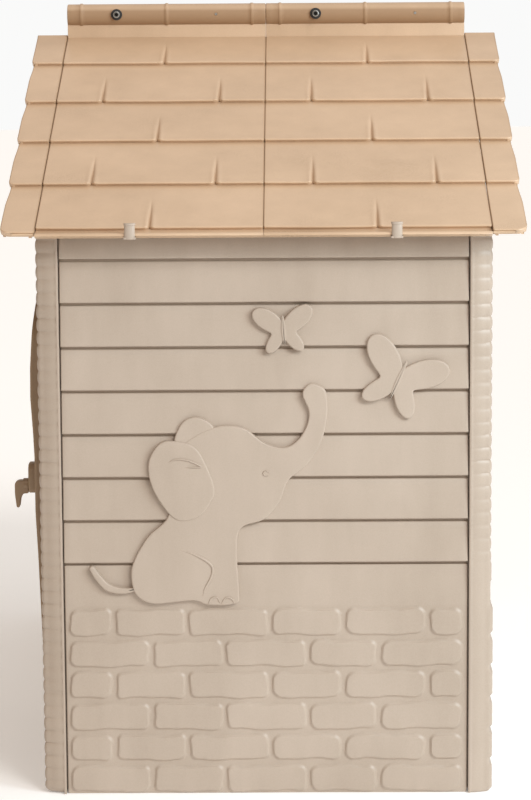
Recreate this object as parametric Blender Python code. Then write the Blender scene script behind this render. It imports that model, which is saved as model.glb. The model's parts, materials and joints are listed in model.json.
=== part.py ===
"""Children's outdoor playhouse: a gable-roofed cabin of clipped and screwed plastic mouldings.

The origin is on the floor at the middle of the house and +Z is up. The ridge runs along X. The
front wall, with the door, is at -X and the rear wall at +X. The side walls face -Y, called the
right side, and +Y, the left side. Lengths are in millimetres until MM turns them into metres.
"""

import math

import bmesh
import bpy
import numpy as np
from mathutils import Matrix

MM = 0.001
GAP = 0.3  # clearance between pieces that touch

# House: the corner posts' outer faces, the walls and the roof planes.
POST_X = 345
POST_Y = 645
WALL_TOP = 865
WALL_DEPTH = 30
SKIN = 3.5
RIM = 4
EAVE_Y = 700
APEX_Z = 1160
ROOF_FALL = 0.41  # height lost for each millimetre from the ridge
ROOF_DEPTH = 20
PANEL_X = 340
VERGE_X = 393
EAVE_BOTTOM = 866

# Side wall.
SIDE_X = 308.5
SIDE_Y = 643
PLANK_FIRST = 364
PLANK_PITCH = 66.7
PLANK_STEP = 6
PLINTH_TOP = 297
RELIEF_PROUD = 1.5

# Front and rear walls, in halves that meet at the middle.
FACE_X = 341
POST_INNER = 585
FLANGE_Y = (608.2, 612.5)
FLANGE_X = 265
HEAD_BAND = 10  # solid band above an arch, under the gable's hollow
DOOR_OPENING = (135, 575, 40, 700, 800)  # sides, sill, spring and crown of its arch
WINDOW_OPENING = (200, 440, 400, 685, 745)

# Door leaf, its hinge and its handle.
LEAF_BACK = 337
LEAF_GAP = 3
HINGE_X = 352
HINGE_Y = 128
EYE_RADIUS = 7
PIN_RADIUS = 3
BORE_CLEARANCE = 0.4
HINGE_HEIGHTS = (150, 600)
HINGE_LENGTH = 40
HANDLE_Y = 525
HANDLE_Z = 466
SPINDLE_RADIUS = 6
PLATE_FACE = 370.7
GRIP_FACE = 393
LATCH_X = (304, 309.2)
LATCH_REACH = 60

# Window shutters.
SHUTTER_X = (334, 348)
SHUTTER_AXIS_X = 350
SHUTTER_AXES_Y = (192, 448)
SHUTTER_EYE_RADIUS = 6
SHUTTER_EYES_Z = (450, 640)
SHUTTER_EYE_HEIGHT = 12

# Roof: shingle courses, and the ridge roll made of two half rolls.
COURSE_ENDS = (135.9, 289.2, 442.6, 596.0, 749.3)  # butts, measured down the slope
COURSE_STEP = 5
ROLL_RADIUS = 20
ROLL_Z = 1188
RIDGE_SCREW_Z = 1189
RIDGE_SCREW_RADIUS = 2.5
SEAT_RADIUS = 9.5
WASHER_RADIUS = 8.5
RIDGE_SCREW_X = (-255, -85)  # in the front panels; the rear panels repeat them
VERGE_DEPTH = 42
CLIP_X = 198
CLIP_WIDTH = 18

# Fasteners.
SCREW_RADIUS = 2
SCREW_HEAD = 4.5
BOSS = 7  # half the width of a screw boss
CORNER_SCREW_X = 287
CORNER_SCREW_Z = (150, 700)
CENTRE_SCREW_X = 324
CENTRE_SCREW_Z = (250, 1000)
VERGE_SCREW_Y = 350


# ---- Mesh tools -------------------------------------------------------------------------


def prism(outline, axis, low, high):
    """A flat outline carried along one axis; its points are the other two axes, in order."""
    place = {
        "X": lambda a, b, along: (along, a, b),
        "Y": lambda a, b, along: (a, along, b),
        "Z": lambda a, b, along: (a, b, along),
    }[axis]
    shape = bmesh.new()
    face = shape.faces.new([shape.verts.new(place(a, b, low)) for a, b in outline])
    grown = bmesh.ops.extrude_face_region(shape, geom=[face])
    moved = [item for item in grown["geom"] if isinstance(item, bmesh.types.BMVert)]
    bmesh.ops.translate(shape, verts=moved, vec=place(0, 0, high - low))
    bmesh.ops.recalc_face_normals(shape, faces=shape.faces)
    mesh = bpy.data.meshes.new("prism")
    shape.to_mesh(mesh)
    shape.free()
    return mesh


def box(x_range, y_range, z_range):
    """A block between two values on each axis."""
    (x0, x1), (y0, y1) = x_range, y_range
    return prism([(x0, y0), (x1, y0), (x1, y1), (x0, y1)], "Z", *z_range)


def circle(centre, radius, sides=12):
    """Points around a circle."""
    turns = [2 * math.pi * (step + 0.5) / sides for step in range(sides)]
    return [(centre[0] + radius * math.cos(t), centre[1] + radius * math.sin(t)) for t in turns]


def rod(axis, centre, radius, low, high, sides=12):
    """A cylinder along an axis through the centre given on the other two axes."""
    return prism(circle(centre, radius, sides), axis, low, high)


def boolean(body, tools, operation):
    """The body joined with the tools (UNION), cut by them (DIFFERENCE) or kept inside them."""
    objects = [bpy.data.objects.new("work", mesh) for mesh in [body, *tools]]
    for item in objects:
        bpy.context.scene.collection.objects.link(item)
    for tool in objects[1:]:
        modifier = objects[0].modifiers.new("Boolean", "BOOLEAN")
        modifier.operation = operation
        modifier.solver = "EXACT"
        modifier.object = tool
    graph = bpy.context.evaluated_depsgraph_get()
    result = bpy.data.meshes.new_from_object(objects[0].evaluated_get(graph), depsgraph=graph)
    for item in objects:
        bpy.data.objects.remove(item)
    return result


def join(body, *tools):
    """The body with the tools added."""
    return boolean(body, tools, "UNION")


def cut(body, *tools):
    """The body with the tools taken away."""
    return boolean(body, tools, "DIFFERENCE")


def placed(mesh, matrix):
    """A copy of the mesh moved by a matrix, turned the right way out where that mirrors it."""
    copy = mesh.copy()
    copy.transform(matrix)
    if matrix.determinant() < 0:
        copy.flip_normals()
    return copy


HALF_TURN = Matrix.Rotation(math.pi, 4, "Z")


def quarter(x_side, y_side):
    """The matrix that takes a shape built at +X, +Y to another quarter of the house."""
    return Matrix.Diagonal((x_side, y_side, 1, 1))


# ---- Materials and nodes ----------------------------------------------------------------


def plastic(name, colour, roughness=0.5, metallic=0.0):
    """A Principled material from a display colour of 0 to 255."""
    material = bpy.data.materials.new(name)
    material.use_nodes = True
    shader = material.node_tree.nodes["Principled BSDF"]
    linear = [((value / 255 + 0.055) / 1.055) ** 2.4 for value in colour]
    shader.inputs["Base Color"].default_value = (*linear, 1)
    shader.inputs["Roughness"].default_value = roughness
    shader.inputs["Metallic"].default_value = metallic
    return material


def node(name, mesh, material, axis=None):
    """One named piece of the house; a moving piece hangs from the empty on its joint's axis."""
    mesh = placed(mesh, Matrix.Scale(MM, 4))
    mesh.name = name
    mesh.materials.clear()
    mesh.materials.append(material)
    mesh.shade_smooth()
    mesh.set_sharp_from_angle(angle=math.radians(35))
    item = bpy.data.objects.new(name, mesh)
    bpy.context.scene.collection.objects.link(item)
    if axis:
        item.parent = axis
        item.matrix_parent_inverse = Matrix.Translation(axis.location).inverted()
    return item


def pivot(name, x, y, z):
    """An empty on a joint's axis."""
    empty = bpy.data.objects.new(name, None)
    empty.location = (x * MM, y * MM, z * MM)
    bpy.context.scene.collection.objects.link(empty)
    return empty


for old in list(bpy.data.objects):
    bpy.data.objects.remove(old, do_unlink=True)

WALL_PLASTIC = plastic("wall_plastic", (203, 188, 172), 0.55)
ROOF_PLASTIC = plastic("roof_plastic", (216, 187, 158), 0.45)
BROWN_PLASTIC = plastic("brown_plastic", (112, 90, 66), 0.45)
STEEL = plastic("zinc_plated_steel", (190, 190, 188), 0.3, 1.0)
RUBBER = plastic("black_rubber", (28, 27, 26), 0.7)


def screw(axis, centre, head_from, tip, radius=SCREW_RADIUS, head=SCREW_HEAD, head_height=3.5):
    """A screw along an axis, its head's bearing face at head_from, with a hexagon socket."""
    way = 1 if tip > head_from else -1
    top = head_from - way * head_height
    shank = rod(axis, centre, radius, *sorted((head_from - way, tip)), 8)
    cap = rod(axis, centre, head, *sorted((top, head_from)))
    socket = rod(axis, centre, head * 0.45, *sorted((top - way, top + way * head_height * 0.6)), 6)
    return cut(join(cap, shank), socket)


# ---- Side walls -------------------------------------------------------------------------

# Outline of a plain sitting elephant with its trunk up, clockwise from the top of its head.
ELEPHANT = [
    (-34, 573), (0, 549), (32, 543), (56, 562), (67, 594), (57, 624), (76, 641), (93, 626),
    (94, 588), (84, 548), (62, 515), (35, 492), (22, 460), (-2, 432), (-38, 418), (-44, 378),
    (-41, 318), (-46, 299), (-88, 299), (-112, 307), (-170, 301), (-205, 314), (-240, 317),
    (-268, 334), (-273, 362), (-257, 351), (-236, 333), (-207, 330), (-203, 364), (-180, 405),
    (-147, 440), (-172, 478), (-180, 520), (-160, 551), (-130, 558), (-124, 580), (-104, 589),
    (-78, 574),
]  # fmt: skip
BUTTERFLIES = [((30, 726), 40, 4), ((203, 648), 60, -24)]  # middle, wing reach, tilt in degrees


def butterfly(middle, reach, tilt, steps=36):
    """Four wings from a polar formula: two wide lobes above and two narrower ones below."""
    points = []
    for turn in np.linspace(-180, 180, steps, endpoint=False):
        upper = math.exp(-(((abs(turn) - 58) / 30) ** 2))
        lower = math.exp(-(((abs(turn) - 138) / 24) ** 2))
        radius = reach * (0.22 + 0.93 * upper + 0.62 * lower)
        angle = math.radians(turn - tilt)
        points.append((middle[0] + radius * math.sin(angle), middle[1] + radius * math.cos(angle)))
    return points


def plank_profile():
    """The side wall's section: overlapping planks, each proud at its foot, above a plain plinth."""
    proud, back = -SIDE_Y, -(SIDE_Y - WALL_DEPTH)
    recessed = proud + PLANK_STEP
    plinth = proud + PLANK_STEP / 2
    points = [(back, 0), (plinth, 0), (plinth, PLINTH_TOP), (recessed, PLANK_FIRST)]
    foot = PLANK_FIRST
    while foot + PLANK_PITCH < WALL_TOP:
        points += [(proud, foot), (recessed, foot + PLANK_PITCH)]
        foot += PLANK_PITCH
    return points + [(proud, foot), (proud + PLANK_STEP / 2, WALL_TOP), (back, WALL_TOP)]


def side_wall():
    """The right wall: planked skin, rims and stiffening ribs behind it, bosses for its screws."""
    wall = prism(plank_profile(), "X", -SIDE_X, SIDE_X)
    back = -(SIDE_Y - WALL_DEPTH)
    skin_back = -(SIDE_Y - PLANK_STEP - SKIN)
    columns = np.linspace(-SIDE_X, SIDE_X, 4)
    rows = np.linspace(0, WALL_TOP, 4)
    pockets = [
        box((x0 + RIM / 2, x1 - RIM / 2), (skin_back, back + 1), (z0 + RIM / 2, z1 - RIM / 2))
        for x0, x1 in zip(columns, columns[1:])
        for z0, z1 in zip(rows, rows[1:])
    ]
    wall = cut(wall, *pockets)
    places = [(x, z) for x in (-CORNER_SCREW_X, CORNER_SCREW_X) for z in CORNER_SCREW_Z]
    bosses = [box((x - 8, x + 8), (skin_back - 1, back), (z - 8, z + 8)) for x, z in places]
    holes = [rod("Y", place, SCREW_RADIUS + GAP, back - 18, back + 1) for place in places]
    relief_face = -(SIDE_Y + RELIEF_PROUD)
    outlines = [ELEPHANT] + [butterfly(*figure) for figure in BUTTERFLIES]
    reliefs = [prism(outline, "Y", relief_face, skin_back - 1) for outline in outlines]
    return cut(join(wall, *bosses, *reliefs), *holes)


right_wall = side_wall()
node("side_wall_right", right_wall, WALL_PLASTIC)
node("side_wall_left", placed(right_wall, HALF_TURN), WALL_PLASTIC)


# ---- Front and rear walls ---------------------------------------------------------------


def roof_height(y, below=0):
    """Height of the roof's outer plane at a distance from the ridge, less a depth below it."""
    return APEX_Z - ROOF_FALL * y - below


def arch(left, right, sill, spring, crown, inset=0, steps=12):
    """An opening's outline: straight sides and half an ellipse above the spring line."""
    middle, half = (left + right) / 2, (right - left) / 2 - inset
    turns = np.linspace(0, math.pi, steps + 1)
    rise = crown - inset - spring
    top = [(middle + half * math.cos(t), spring + rise * math.sin(t)) for t in turns]
    return [(left + inset, sill + inset), (right - inset, sill + inset), *top]


def eye(x, y, radius, low, high):
    """A hinge eye standing off the wall: a round barrel and the block that carries it."""
    barrel = rod("Z", (x, y), radius, low, high)
    return join(barrel, box((FACE_X - 2, x), (y - radius + 0.5, y + radius - 0.5), (low, high)))


def wall_half(opening, pockets, hinge_eyes, hinge_bore, with_boss):
    """One half of a gable wall with its corner post, built at +X and +Y."""
    top_gap = ROOF_DEPTH + 0.5
    inner = FACE_X - WALL_DEPTH
    post_top = roof_height(POST_Y, top_gap)
    gable = [(GAP, 0), (POST_Y, 0), (POST_Y, post_top), (GAP, roof_height(GAP, top_gap))]
    wall = prism(gable, "X", inner, FACE_X)
    wall = join(wall, box((inner - 1, POST_X), (POST_INNER, POST_Y), (0, post_top)))
    rim_line = top_gap + RIM * 1.1
    edge = POST_INNER - RIM
    over = opening[4] + HEAD_BAND + RIM
    start = GAP + RIM
    upper = [
        (start, over),
        (edge, over),
        (edge, roof_height(edge, rim_line)),
        (start, roof_height(start, rim_line)),
    ]
    hollows = [prism(upper, "X", inner - 2, FACE_X - SKIN)]
    hollows += [box((inner - 2, FACE_X - SKIN), y_range, z_range) for y_range, z_range in pockets]
    for y_range in ((POST_INNER + RIM, FLANGE_Y[0]), (FLANGE_Y[1], POST_Y - RIM)):
        hollows.append(box((inner - 2, POST_X - RIM), y_range, (RIM, post_top - RIM)))
    wall = cut(wall, prism(arch(*opening), "X", inner - 2, POST_X + 1), *hollows)
    flange = box((FLANGE_X, POST_X - 1), FLANGE_Y, (RIM, WALL_TOP - 5))
    wall = join(wall, flange, *[eye(*place) for place in hinge_eyes])
    bore = SCREW_RADIUS + GAP
    through_flange = (FLANGE_Y[0] - 1, FLANGE_Y[1] + 1)
    holes = [rod("Y", (CORNER_SCREW_X, z), bore, *through_flange) for z in CORNER_SCREW_Z]
    for x, y, _, low, high in hinge_eyes:
        holes.append(rod("Z", (x, y), hinge_bore, low - 1, high + 1))
    if with_boss:
        across = (CENTRE_SCREW_X - BOSS, CENTRE_SCREW_X + BOSS)
        wall = join(wall, *[box(across, (1, 16), (z - BOSS, z + BOSS)) for z in CENTRE_SCREW_Z])
    holes += [rod("Y", (CENTRE_SCREW_X, z), bore, -1, 20) for z in CENTRE_SCREW_Z]
    trim_screw = (VERGE_SCREW_Y, verge_screw_height())
    holes.append(rod("X", trim_screw, bore, FACE_X - 10, FACE_X + 1))
    return cut(wall, *holes)


def verge_screw_height():
    """Height of the screw that holds a verge trim, just above the trim's lower edge."""
    return roof_height(VERGE_SCREW_Y, VERGE_DEPTH) + 6


def door_half():
    """The front wall's right half, with the door opening and the fixed hinge eyes."""
    left, right, sill, _, crown = DOOR_OPENING
    pockets = [
        ((GAP + RIM, left - RIM), (RIM, crown + HEAD_BAND)),
        ((left + RIM, right - RIM), (RIM, sill - RIM)),
    ]
    eyes = []
    for low in HINGE_HEIGHTS:
        for start in (low, low + HINGE_LENGTH - 12):
            eyes.append((HINGE_X, HINGE_Y, EYE_RADIUS, start, start + 12))
    return wall_half(DOOR_OPENING, pockets, eyes, PIN_RADIUS + BORE_CLEARANCE, False)


def window_half(with_boss):
    """A half with a window opening and the eyes that its shutters' pins drop into."""
    left, right, sill, _, crown = WINDOW_OPENING
    pockets = [((left, right), (RIM, sill - RIM))]
    for y_range in ((GAP + RIM, left - RIM), (right + RIM, POST_INNER - RIM)):
        pockets += [(y_range, (RIM, sill - RIM)), (y_range, (sill, crown + HEAD_BAND))]
    eyes = [
        (SHUTTER_AXIS_X, y, SHUTTER_EYE_RADIUS, z, z + SHUTTER_EYE_HEIGHT)
        for y in SHUTTER_AXES_Y
        for z in SHUTTER_EYES_Z
    ]
    return wall_half(WINDOW_OPENING, pockets, eyes, PIN_RADIUS + BORE_CLEARANCE, with_boss)


bossed_half = window_half(True)
node("front_wall_door", placed(door_half(), quarter(-1, -1)), WALL_PLASTIC)
node("front_wall_window", placed(bossed_half, quarter(-1, 1)), WALL_PLASTIC)
node("rear_wall_right", placed(window_half(False), quarter(1, -1)), WALL_PLASTIC)
node("rear_wall_left", placed(bossed_half, quarter(1, 1)), WALL_PLASTIC)

for x_side, end in ((-1, "front"), (1, "rear")):
    for y_side, side in ((-1, "right"), (1, "left")):
        for z, level in zip(CORNER_SCREW_Z, ("low", "high")):
            shape = screw("Y", (CORNER_SCREW_X, z), FLANGE_Y[0] - GAP, FLANGE_Y[1] + 15)
            node(f"corner_screw_{end}_{side}_{level}", placed(shape, quarter(x_side, y_side)), STEEL)
    for z, level in zip(CENTRE_SCREW_Z, ("low", "high")):
        shape = screw("Y", (CENTRE_SCREW_X, z), -GAP - RIM - GAP, 14)
        node(f"centre_screw_{end}_{level}", placed(shape, quarter(x_side, 1)), STEEL)


# ---- Roof -------------------------------------------------------------------------------

SLOPE_COS = 1 / math.hypot(1, ROOF_FALL)


def course_points():
    """The stepped upper face: each course starts low at its top and ends at its butt's full height."""
    low = COURSE_STEP / SLOPE_COS
    points, start = [], 0
    for end in COURSE_ENDS:
        y = end * SLOPE_COS
        points += [(start, roof_height(start, low)), (y, roof_height(y))]
        start = y
    return points + [(start, roof_height(start, low)), (EAVE_Y, roof_height(EAVE_Y, low / 2))]


def eave_turn(depth):
    """Where an underside at this depth meets the level underside of the eave."""
    return (APEX_Z - depth - EAVE_BOTTOM) / ROOF_FALL


def panel_outline():
    """A roof panel's section without its ridge roll."""
    top = [(max(y, GAP), z) for y, z in course_points()]
    turn = eave_turn(ROOF_DEPTH)
    return [*top, (EAVE_Y, EAVE_BOTTOM), (turn, EAVE_BOTTOM), (GAP, roof_height(GAP, ROOF_DEPTH))]


def half_roll(radius, steps=10):
    """Half of the ridge roll's section, on the side away from the joint."""
    turns = np.linspace(-math.pi / 2, math.pi / 2, steps + 1)
    arc = [(GAP + radius * math.cos(t), ROLL_Z + radius * math.sin(t)) for t in turns]
    return arc


def roof_panel():
    """The left front panel, built at -X and +Y: shingled skin, ribs below and half the ridge roll."""
    x0, x1 = -PANEL_X + GAP / 2, -GAP / 2
    panel = prism(panel_outline(), "X", x0, x1)
    under = ROOF_DEPTH + 1
    inner = COURSE_STEP / SLOPE_COS + SKIN
    end = EAVE_Y - 20
    pocket = [
        (RIM, roof_height(RIM, inner)),
        (end, roof_height(end, inner)),
        (end, roof_height(end, under) - 6),
        (RIM, roof_height(RIM, under)),
    ]
    bays = np.linspace(x0, x1, 4)
    pockets = [prism(pocket, "X", a + RIM / 2, b - RIM / 2) for a, b in zip(bays, bays[1:])]
    roll = prism(half_roll(ROLL_RADIUS), "X", x0, x1)
    hollow = prism(half_roll(ROLL_RADIUS - SKIN), "X", x0 + RIM, x1 - RIM)
    web = box((x0, x1), (GAP, 9), (roof_height(0, 8), ROLL_Z - ROLL_RADIUS + 4))
    boss_ranges = ((GAP, ROLL_RADIUS - 2), (RIDGE_SCREW_Z - BOSS, RIDGE_SCREW_Z + BOSS))
    bosses = [box((x - BOSS, x + BOSS), *boss_ranges) for x in RIDGE_SCREW_X]
    seat = rod("Y", (RIDGE_SCREW_X[1], RIDGE_SCREW_Z), SEAT_RADIUS, 8, ROLL_RADIUS + 0.5)
    roll = join(cut(roll, hollow), *bosses, seat)
    panel = join(cut(panel, *pockets), web, roll)
    bore = RIDGE_SCREW_RADIUS + GAP
    holes = [rod("Y", (x, RIDGE_SCREW_Z), bore, -1, 30) for x in RIDGE_SCREW_X]
    half = CLIP_WIDTH / 2 + 0.5
    under_eave = ((eave_turn(ROOF_DEPTH) - 4, EAVE_Y + 1), (EAVE_BOTTOM - 2, EAVE_BOTTOM + 3))
    slots = [box((x - half, x + half), *under_eave) for x in (-CLIP_X, CLIP_X - PANEL_X)]
    return cut(panel, *holes, *slots)


panel = roof_panel()
along = Matrix.Translation((PANEL_X, 0, 0))
node("roof_panel_left_front", panel, ROOF_PLASTIC)
node("roof_panel_left_rear", placed(panel, along), ROOF_PLASTIC)
node("roof_panel_right_front", placed(panel, HALF_TURN @ along), ROOF_PLASTIC)
node("roof_panel_right_rear", placed(panel, HALF_TURN), ROOF_PLASTIC)

# Each panel's ridge screw goes through both half rolls; a rubber washer lies under its head.
WASHER = (ROLL_RADIUS + 0.5 + GAP, ROLL_RADIUS + 2.5)
RIDGE_SCREW = (RIDGE_SCREW_X[1], RIDGE_SCREW_Z)
washer = cut(
    rod("Y", RIDGE_SCREW, WASHER_RADIUS, *WASHER),
    rod("Y", RIDGE_SCREW, RIDGE_SCREW_RADIUS + GAP, 0, 40),
)
ridge_screw = screw("Y", RIDGE_SCREW, WASHER[1] + GAP, -ROLL_RADIUS, RIDGE_SCREW_RADIUS, 5.8, 5)
for name, place in (
    ("left_front", Matrix.Identity(4)),
    ("left_rear", along),
    ("right_front", HALF_TURN @ along),
    ("right_rear", HALF_TURN),
):
    node(f"ridge_washer_{name}", placed(washer, place), RUBBER)
    node(f"ridge_screw_{name}", placed(ridge_screw, place), STEEL)


def verge_trim():
    """A trim at +X, +Y: it continues the shingles past the wall, with a fascia and a fixing flange."""
    x0 = PANEL_X + 0.5
    turn = (APEX_Z - VERGE_DEPTH - EAVE_BOTTOM) / ROOF_FALL
    top = [(max(y, GAP), z) for y, z in course_points()]
    outline = [*top, (EAVE_Y, EAVE_BOTTOM), (turn, EAVE_BOTTOM), (GAP, roof_height(GAP, VERGE_DEPTH))]
    trim = prism(outline, "X", x0, VERGE_X)
    under = COURSE_STEP / SLOPE_COS + SKIN
    flange = (POST_X + 0.5, POST_X + 4.5)

    def below(y_start, y_end):
        """Everything under the trim's skin between two distances from the ridge."""
        floor = EAVE_BOTTOM - 60
        return [
            (y_start, roof_height(y_start, under)),
            (y_end, roof_height(y_end, under)),
            (y_end, floor),
            (y_start, floor),
        ]

    channel = prism(below(GAP + RIM, EAVE_Y - 18), "X", flange[1], VERGE_X - RIM)
    wall_room = prism(below(GAP - 1, EAVE_Y - 18), "X", x0 - 1, flange[0])
    trim = cut(trim, channel, wall_room)
    place = (VERGE_SCREW_Y, verge_screw_height())
    trim = join(trim, rod("X", place, 5.5, FACE_X + GAP, flange[1]))
    return cut(trim, rod("X", place, SCREW_RADIUS + GAP, FACE_X, flange[1] + 1))


trim = verge_trim()
verge_screw = screw("X", (VERGE_SCREW_Y, verge_screw_height()), FACE_X - SKIN - GAP, POST_X + 9)
for x_side, end in ((-1, "front"), (1, "rear")):
    for y_side, side in ((-1, "right"), (1, "left")):
        node(f"verge_trim_{end}_{side}", placed(trim, quarter(x_side, y_side)), ROOF_PLASTIC)
        node(f"verge_screw_{end}_{side}", placed(verge_screw, quarter(x_side, y_side)), STEEL)


def eave_clip():
    """A strip at -X, +Y that hooks over the side wall's head and stands up in front of the eave."""
    foot, top = WALL_TOP + GAP, WALL_TOP + GAP + 3
    inner = SIDE_Y - WALL_DEPTH
    outline = [
        (inner - 3.3, foot - 20), (inner - GAP, foot - 20), (inner - GAP, foot), (EAVE_Y + 4.5, foot),
        (EAVE_Y + 6, foot + 1.5), (EAVE_Y + 6, 888), (EAVE_Y + 4.5, 889.5), (EAVE_Y + 3, 888),
        (EAVE_Y + 3, top), (inner - 3.3, top),
    ]  # fmt: skip
    return prism(outline, "X", -CLIP_X - CLIP_WIDTH / 2, -CLIP_X + CLIP_WIDTH / 2)


clip = eave_clip()
for y_side, side in ((-1, "right"), (1, "left")):
    for x_side, end in ((1, "front"), (-1, "rear")):
        node(f"eave_clip_{side}_{end}", placed(clip, quarter(x_side, y_side)), WALL_PLASTIC)


# ---- Door -------------------------------------------------------------------------------

# How far the leaf's face stands out from the posts, from its foot to its head.
FLAT_PROUD = 12.8  # behind the handle's plate
CROWN = [
    (45, 2), (200, 4.5), (309, 8), (365, 9.9), (430, FLAT_PROUD), (517, FLAT_PROUD), (555, 14.3),
    (609, 17.5), (655, 17), (701, 14), (754, 9), (797, 5),
]  # fmt: skip
DOOR = quarter(-1, -1)


def leaf():
    """The arched, crowned leaf: a shell open at the back, with hinge barrels and a spindle tube."""
    left, right, sill, spring, crown = DOOR_OPENING
    face = [(POST_X + proud, z) for z, proud in CROWN]
    inner = [(x - SKIN, z) for x, z in face]
    low, high = sill + LEAF_GAP + 2, crown - LEAF_GAP
    body = prism([(LEAF_BACK, low), *face, (LEAF_BACK, high)], "Y", left, right)
    shape = boolean(body, [prism(arch(*DOOR_OPENING, LEAF_GAP), "X", 300, 400)], "INTERSECT")
    hollow = prism([(LEAF_BACK - 1, low), *inner, (LEAF_BACK - 1, high)], "Y", left, right)
    room = boolean(hollow, [prism(arch(*DOOR_OPENING, LEAF_GAP + RIM), "X", 300, 400)], "INTERSECT")
    shape = cut(shape, room)
    tube = rod("X", (HANDLE_Y, HANDLE_Z), SPINDLE_RADIUS + 5, LEAF_BACK, POST_X + 11)
    barrels = []
    for start in HINGE_HEIGHTS:
        span = (start + 12.5, start + HINGE_LENGTH - 12.5)
        barrels.append(rod("Z", (HINGE_X, HINGE_Y), EYE_RADIUS, *span))
        barrels.append(box((HINGE_X - 5, HINGE_X + 2), (HINGE_Y, left + LEAF_GAP + 2), span))
    shape = join(shape, tube, *barrels)
    holes = [rod("Z", (HINGE_X, HINGE_Y), PIN_RADIUS + BORE_CLEARANCE, z, z + 50) for z in HINGE_HEIGHTS]
    return cut(shape, rod("X", (HANDLE_Y, HANDLE_Z), SPINDLE_RADIUS + BORE_CLEARANCE, 300, 400), *holes)


door_axis = pivot("door_axis", -HINGE_X, -HINGE_Y, HINGE_HEIGHTS[0])
handle_axis = pivot("handle_axis", -PLATE_FACE, -HANDLE_Y, HANDLE_Z)
node("door_leaf", placed(leaf(), DOOR), BROWN_PLASTIC, door_axis)
for start, level in zip(HINGE_HEIGHTS, ("low", "high")):
    shank = rod("Z", (HINGE_X, HINGE_Y), PIN_RADIUS, start + 1, start + HINGE_LENGTH + 1)
    head_start = start + HINGE_LENGTH + GAP
    head = rod("Z", (HINGE_X, HINGE_Y), PIN_RADIUS + 2, head_start, head_start + 3)
    node(f"door_hinge_pin_{level}", placed(join(shank, head), DOOR), BROWN_PLASTIC)

PLATE_CORNERS = ((-16, 460), (-10, 454), (10, 454), (16, 460), (16, 495), (10, 501), (-10, 501), (-16, 495))
plate_outline = [(HANDLE_Y + y, z) for y, z in PLATE_CORNERS]
plate = prism(plate_outline, "X", POST_X + FLAT_PROUD + GAP, PLATE_FACE)
plate = cut(plate, rod("X", (HANDLE_Y, HANDLE_Z), SPINDLE_RADIUS + BORE_CLEARANCE, 300, 400))
node("handle_plate", placed(plate, DOOR), BROWN_PLASTIC, door_axis)


def grip():
    """The hooked handle with its round neck and the spindle that goes through the leaf."""
    neck = PLATE_FACE + 0.5
    outline = [
        (neck, 478), (387, 478), (391, 475.5), (GRIP_FACE, 471), (GRIP_FACE, 454), (390, 433), (387, 430.5),
        (383.5, 433), (383.5, 444), (380, 454), (neck, 454),
    ]  # fmt: skip
    hook = prism(outline, "Y", HANDLE_Y - 9, HANDLE_Y + 9)
    boss = rod("X", (HANDLE_Y, HANDLE_Z), 12, neck, 384)
    spindle = rod("X", (HANDLE_Y, HANDLE_Z), SPINDLE_RADIUS, LATCH_X[1] + GAP, neck + 2)
    bore = rod("X", (HANDLE_Y, HANDLE_Z), SCREW_RADIUS + GAP, LATCH_X[1] - 1, LATCH_X[1] + 20)
    return cut(join(hook, boss, spindle), bore)


latch = box(LATCH_X, (HANDLE_Y - 9, HANDLE_Y + 9), (HANDLE_Z - LATCH_REACH, HANDLE_Z + 9))
latch = cut(latch, rod("X", (HANDLE_Y, HANDLE_Z), SCREW_RADIUS + GAP, 300, 320))
node("door_handle", placed(grip(), DOOR), BROWN_PLASTIC, handle_axis)
node("door_latch", placed(latch, DOOR), BROWN_PLASTIC, handle_axis)
latch_screw = screw("X", (HANDLE_Y, HANDLE_Z), LATCH_X[0] - GAP, LATCH_X[1] + 14)
node("latch_screw", placed(latch_screw, DOOR), STEEL, handle_axis)


# ---- Window shutters --------------------------------------------------------------------

WINDOWS = (("front", -1, 1), ("rear_right", 1, -1), ("rear_left", 1, 1))


def shutter(outer):
    """One leaf of a window's pair, hung on two pins that drop into the wall's eyes."""
    left, right, sill, spring, crown = WINDOW_OPENING
    middle = (left + right) / 2
    back, front = SHUTTER_X
    y_range = (left + 1.5, middle - 1)
    leaf_shape = prism(arch(left, right, sill, spring, crown, 1.5), "X", back, front)
    shape = boolean(leaf_shape, [box((300, 400), y_range, (sill + 2, crown))], "INTERSECT")
    pocket = box((back - 1, front - 3), (y_range[0] + RIM, y_range[1] - RIM), (sill + 2 + RIM, spring))
    shape = cut(shape, pocket)
    axis_y = SHUTTER_AXES_Y[0]
    for low in SHUTTER_EYES_Z:
        base = low + SHUTTER_EYE_HEIGHT + 0.5
        lug = rod("Z", (SHUTTER_AXIS_X, axis_y), 5, base, base + 8)
        arm = box((front - 3, SHUTTER_AXIS_X + 2), (axis_y, y_range[0] + 10), (base, base + 8))
        pin = rod("Z", (SHUTTER_AXIS_X, axis_y), PIN_RADIUS, low + 1, base + 2)
        shape = join(shape, lug, arm, pin)
    if outer:
        mirror = Matrix.Translation((0, 2 * middle, 0)) @ Matrix.Diagonal((1, -1, 1, 1))
        shape = placed(shape, mirror)
    return shape


for outer, axis_y, which in ((False, SHUTTER_AXES_Y[0], "inner"), (True, SHUTTER_AXES_Y[1], "outer")):
    shape = shutter(outer)
    for window, x_side, y_side in WINDOWS:
        name = f"shutter_{window}_{which}"
        axis = pivot(name + "_axis", x_side * SHUTTER_AXIS_X, y_side * axis_y, SHUTTER_EYES_Z[0])
        node(name, placed(shape, quarter(x_side, y_side)), BROWN_PLASTIC, axis)
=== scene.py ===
import json
import math

import bmesh
import bpy
import numpy as np
from mathutils import Matrix, Vector

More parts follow.
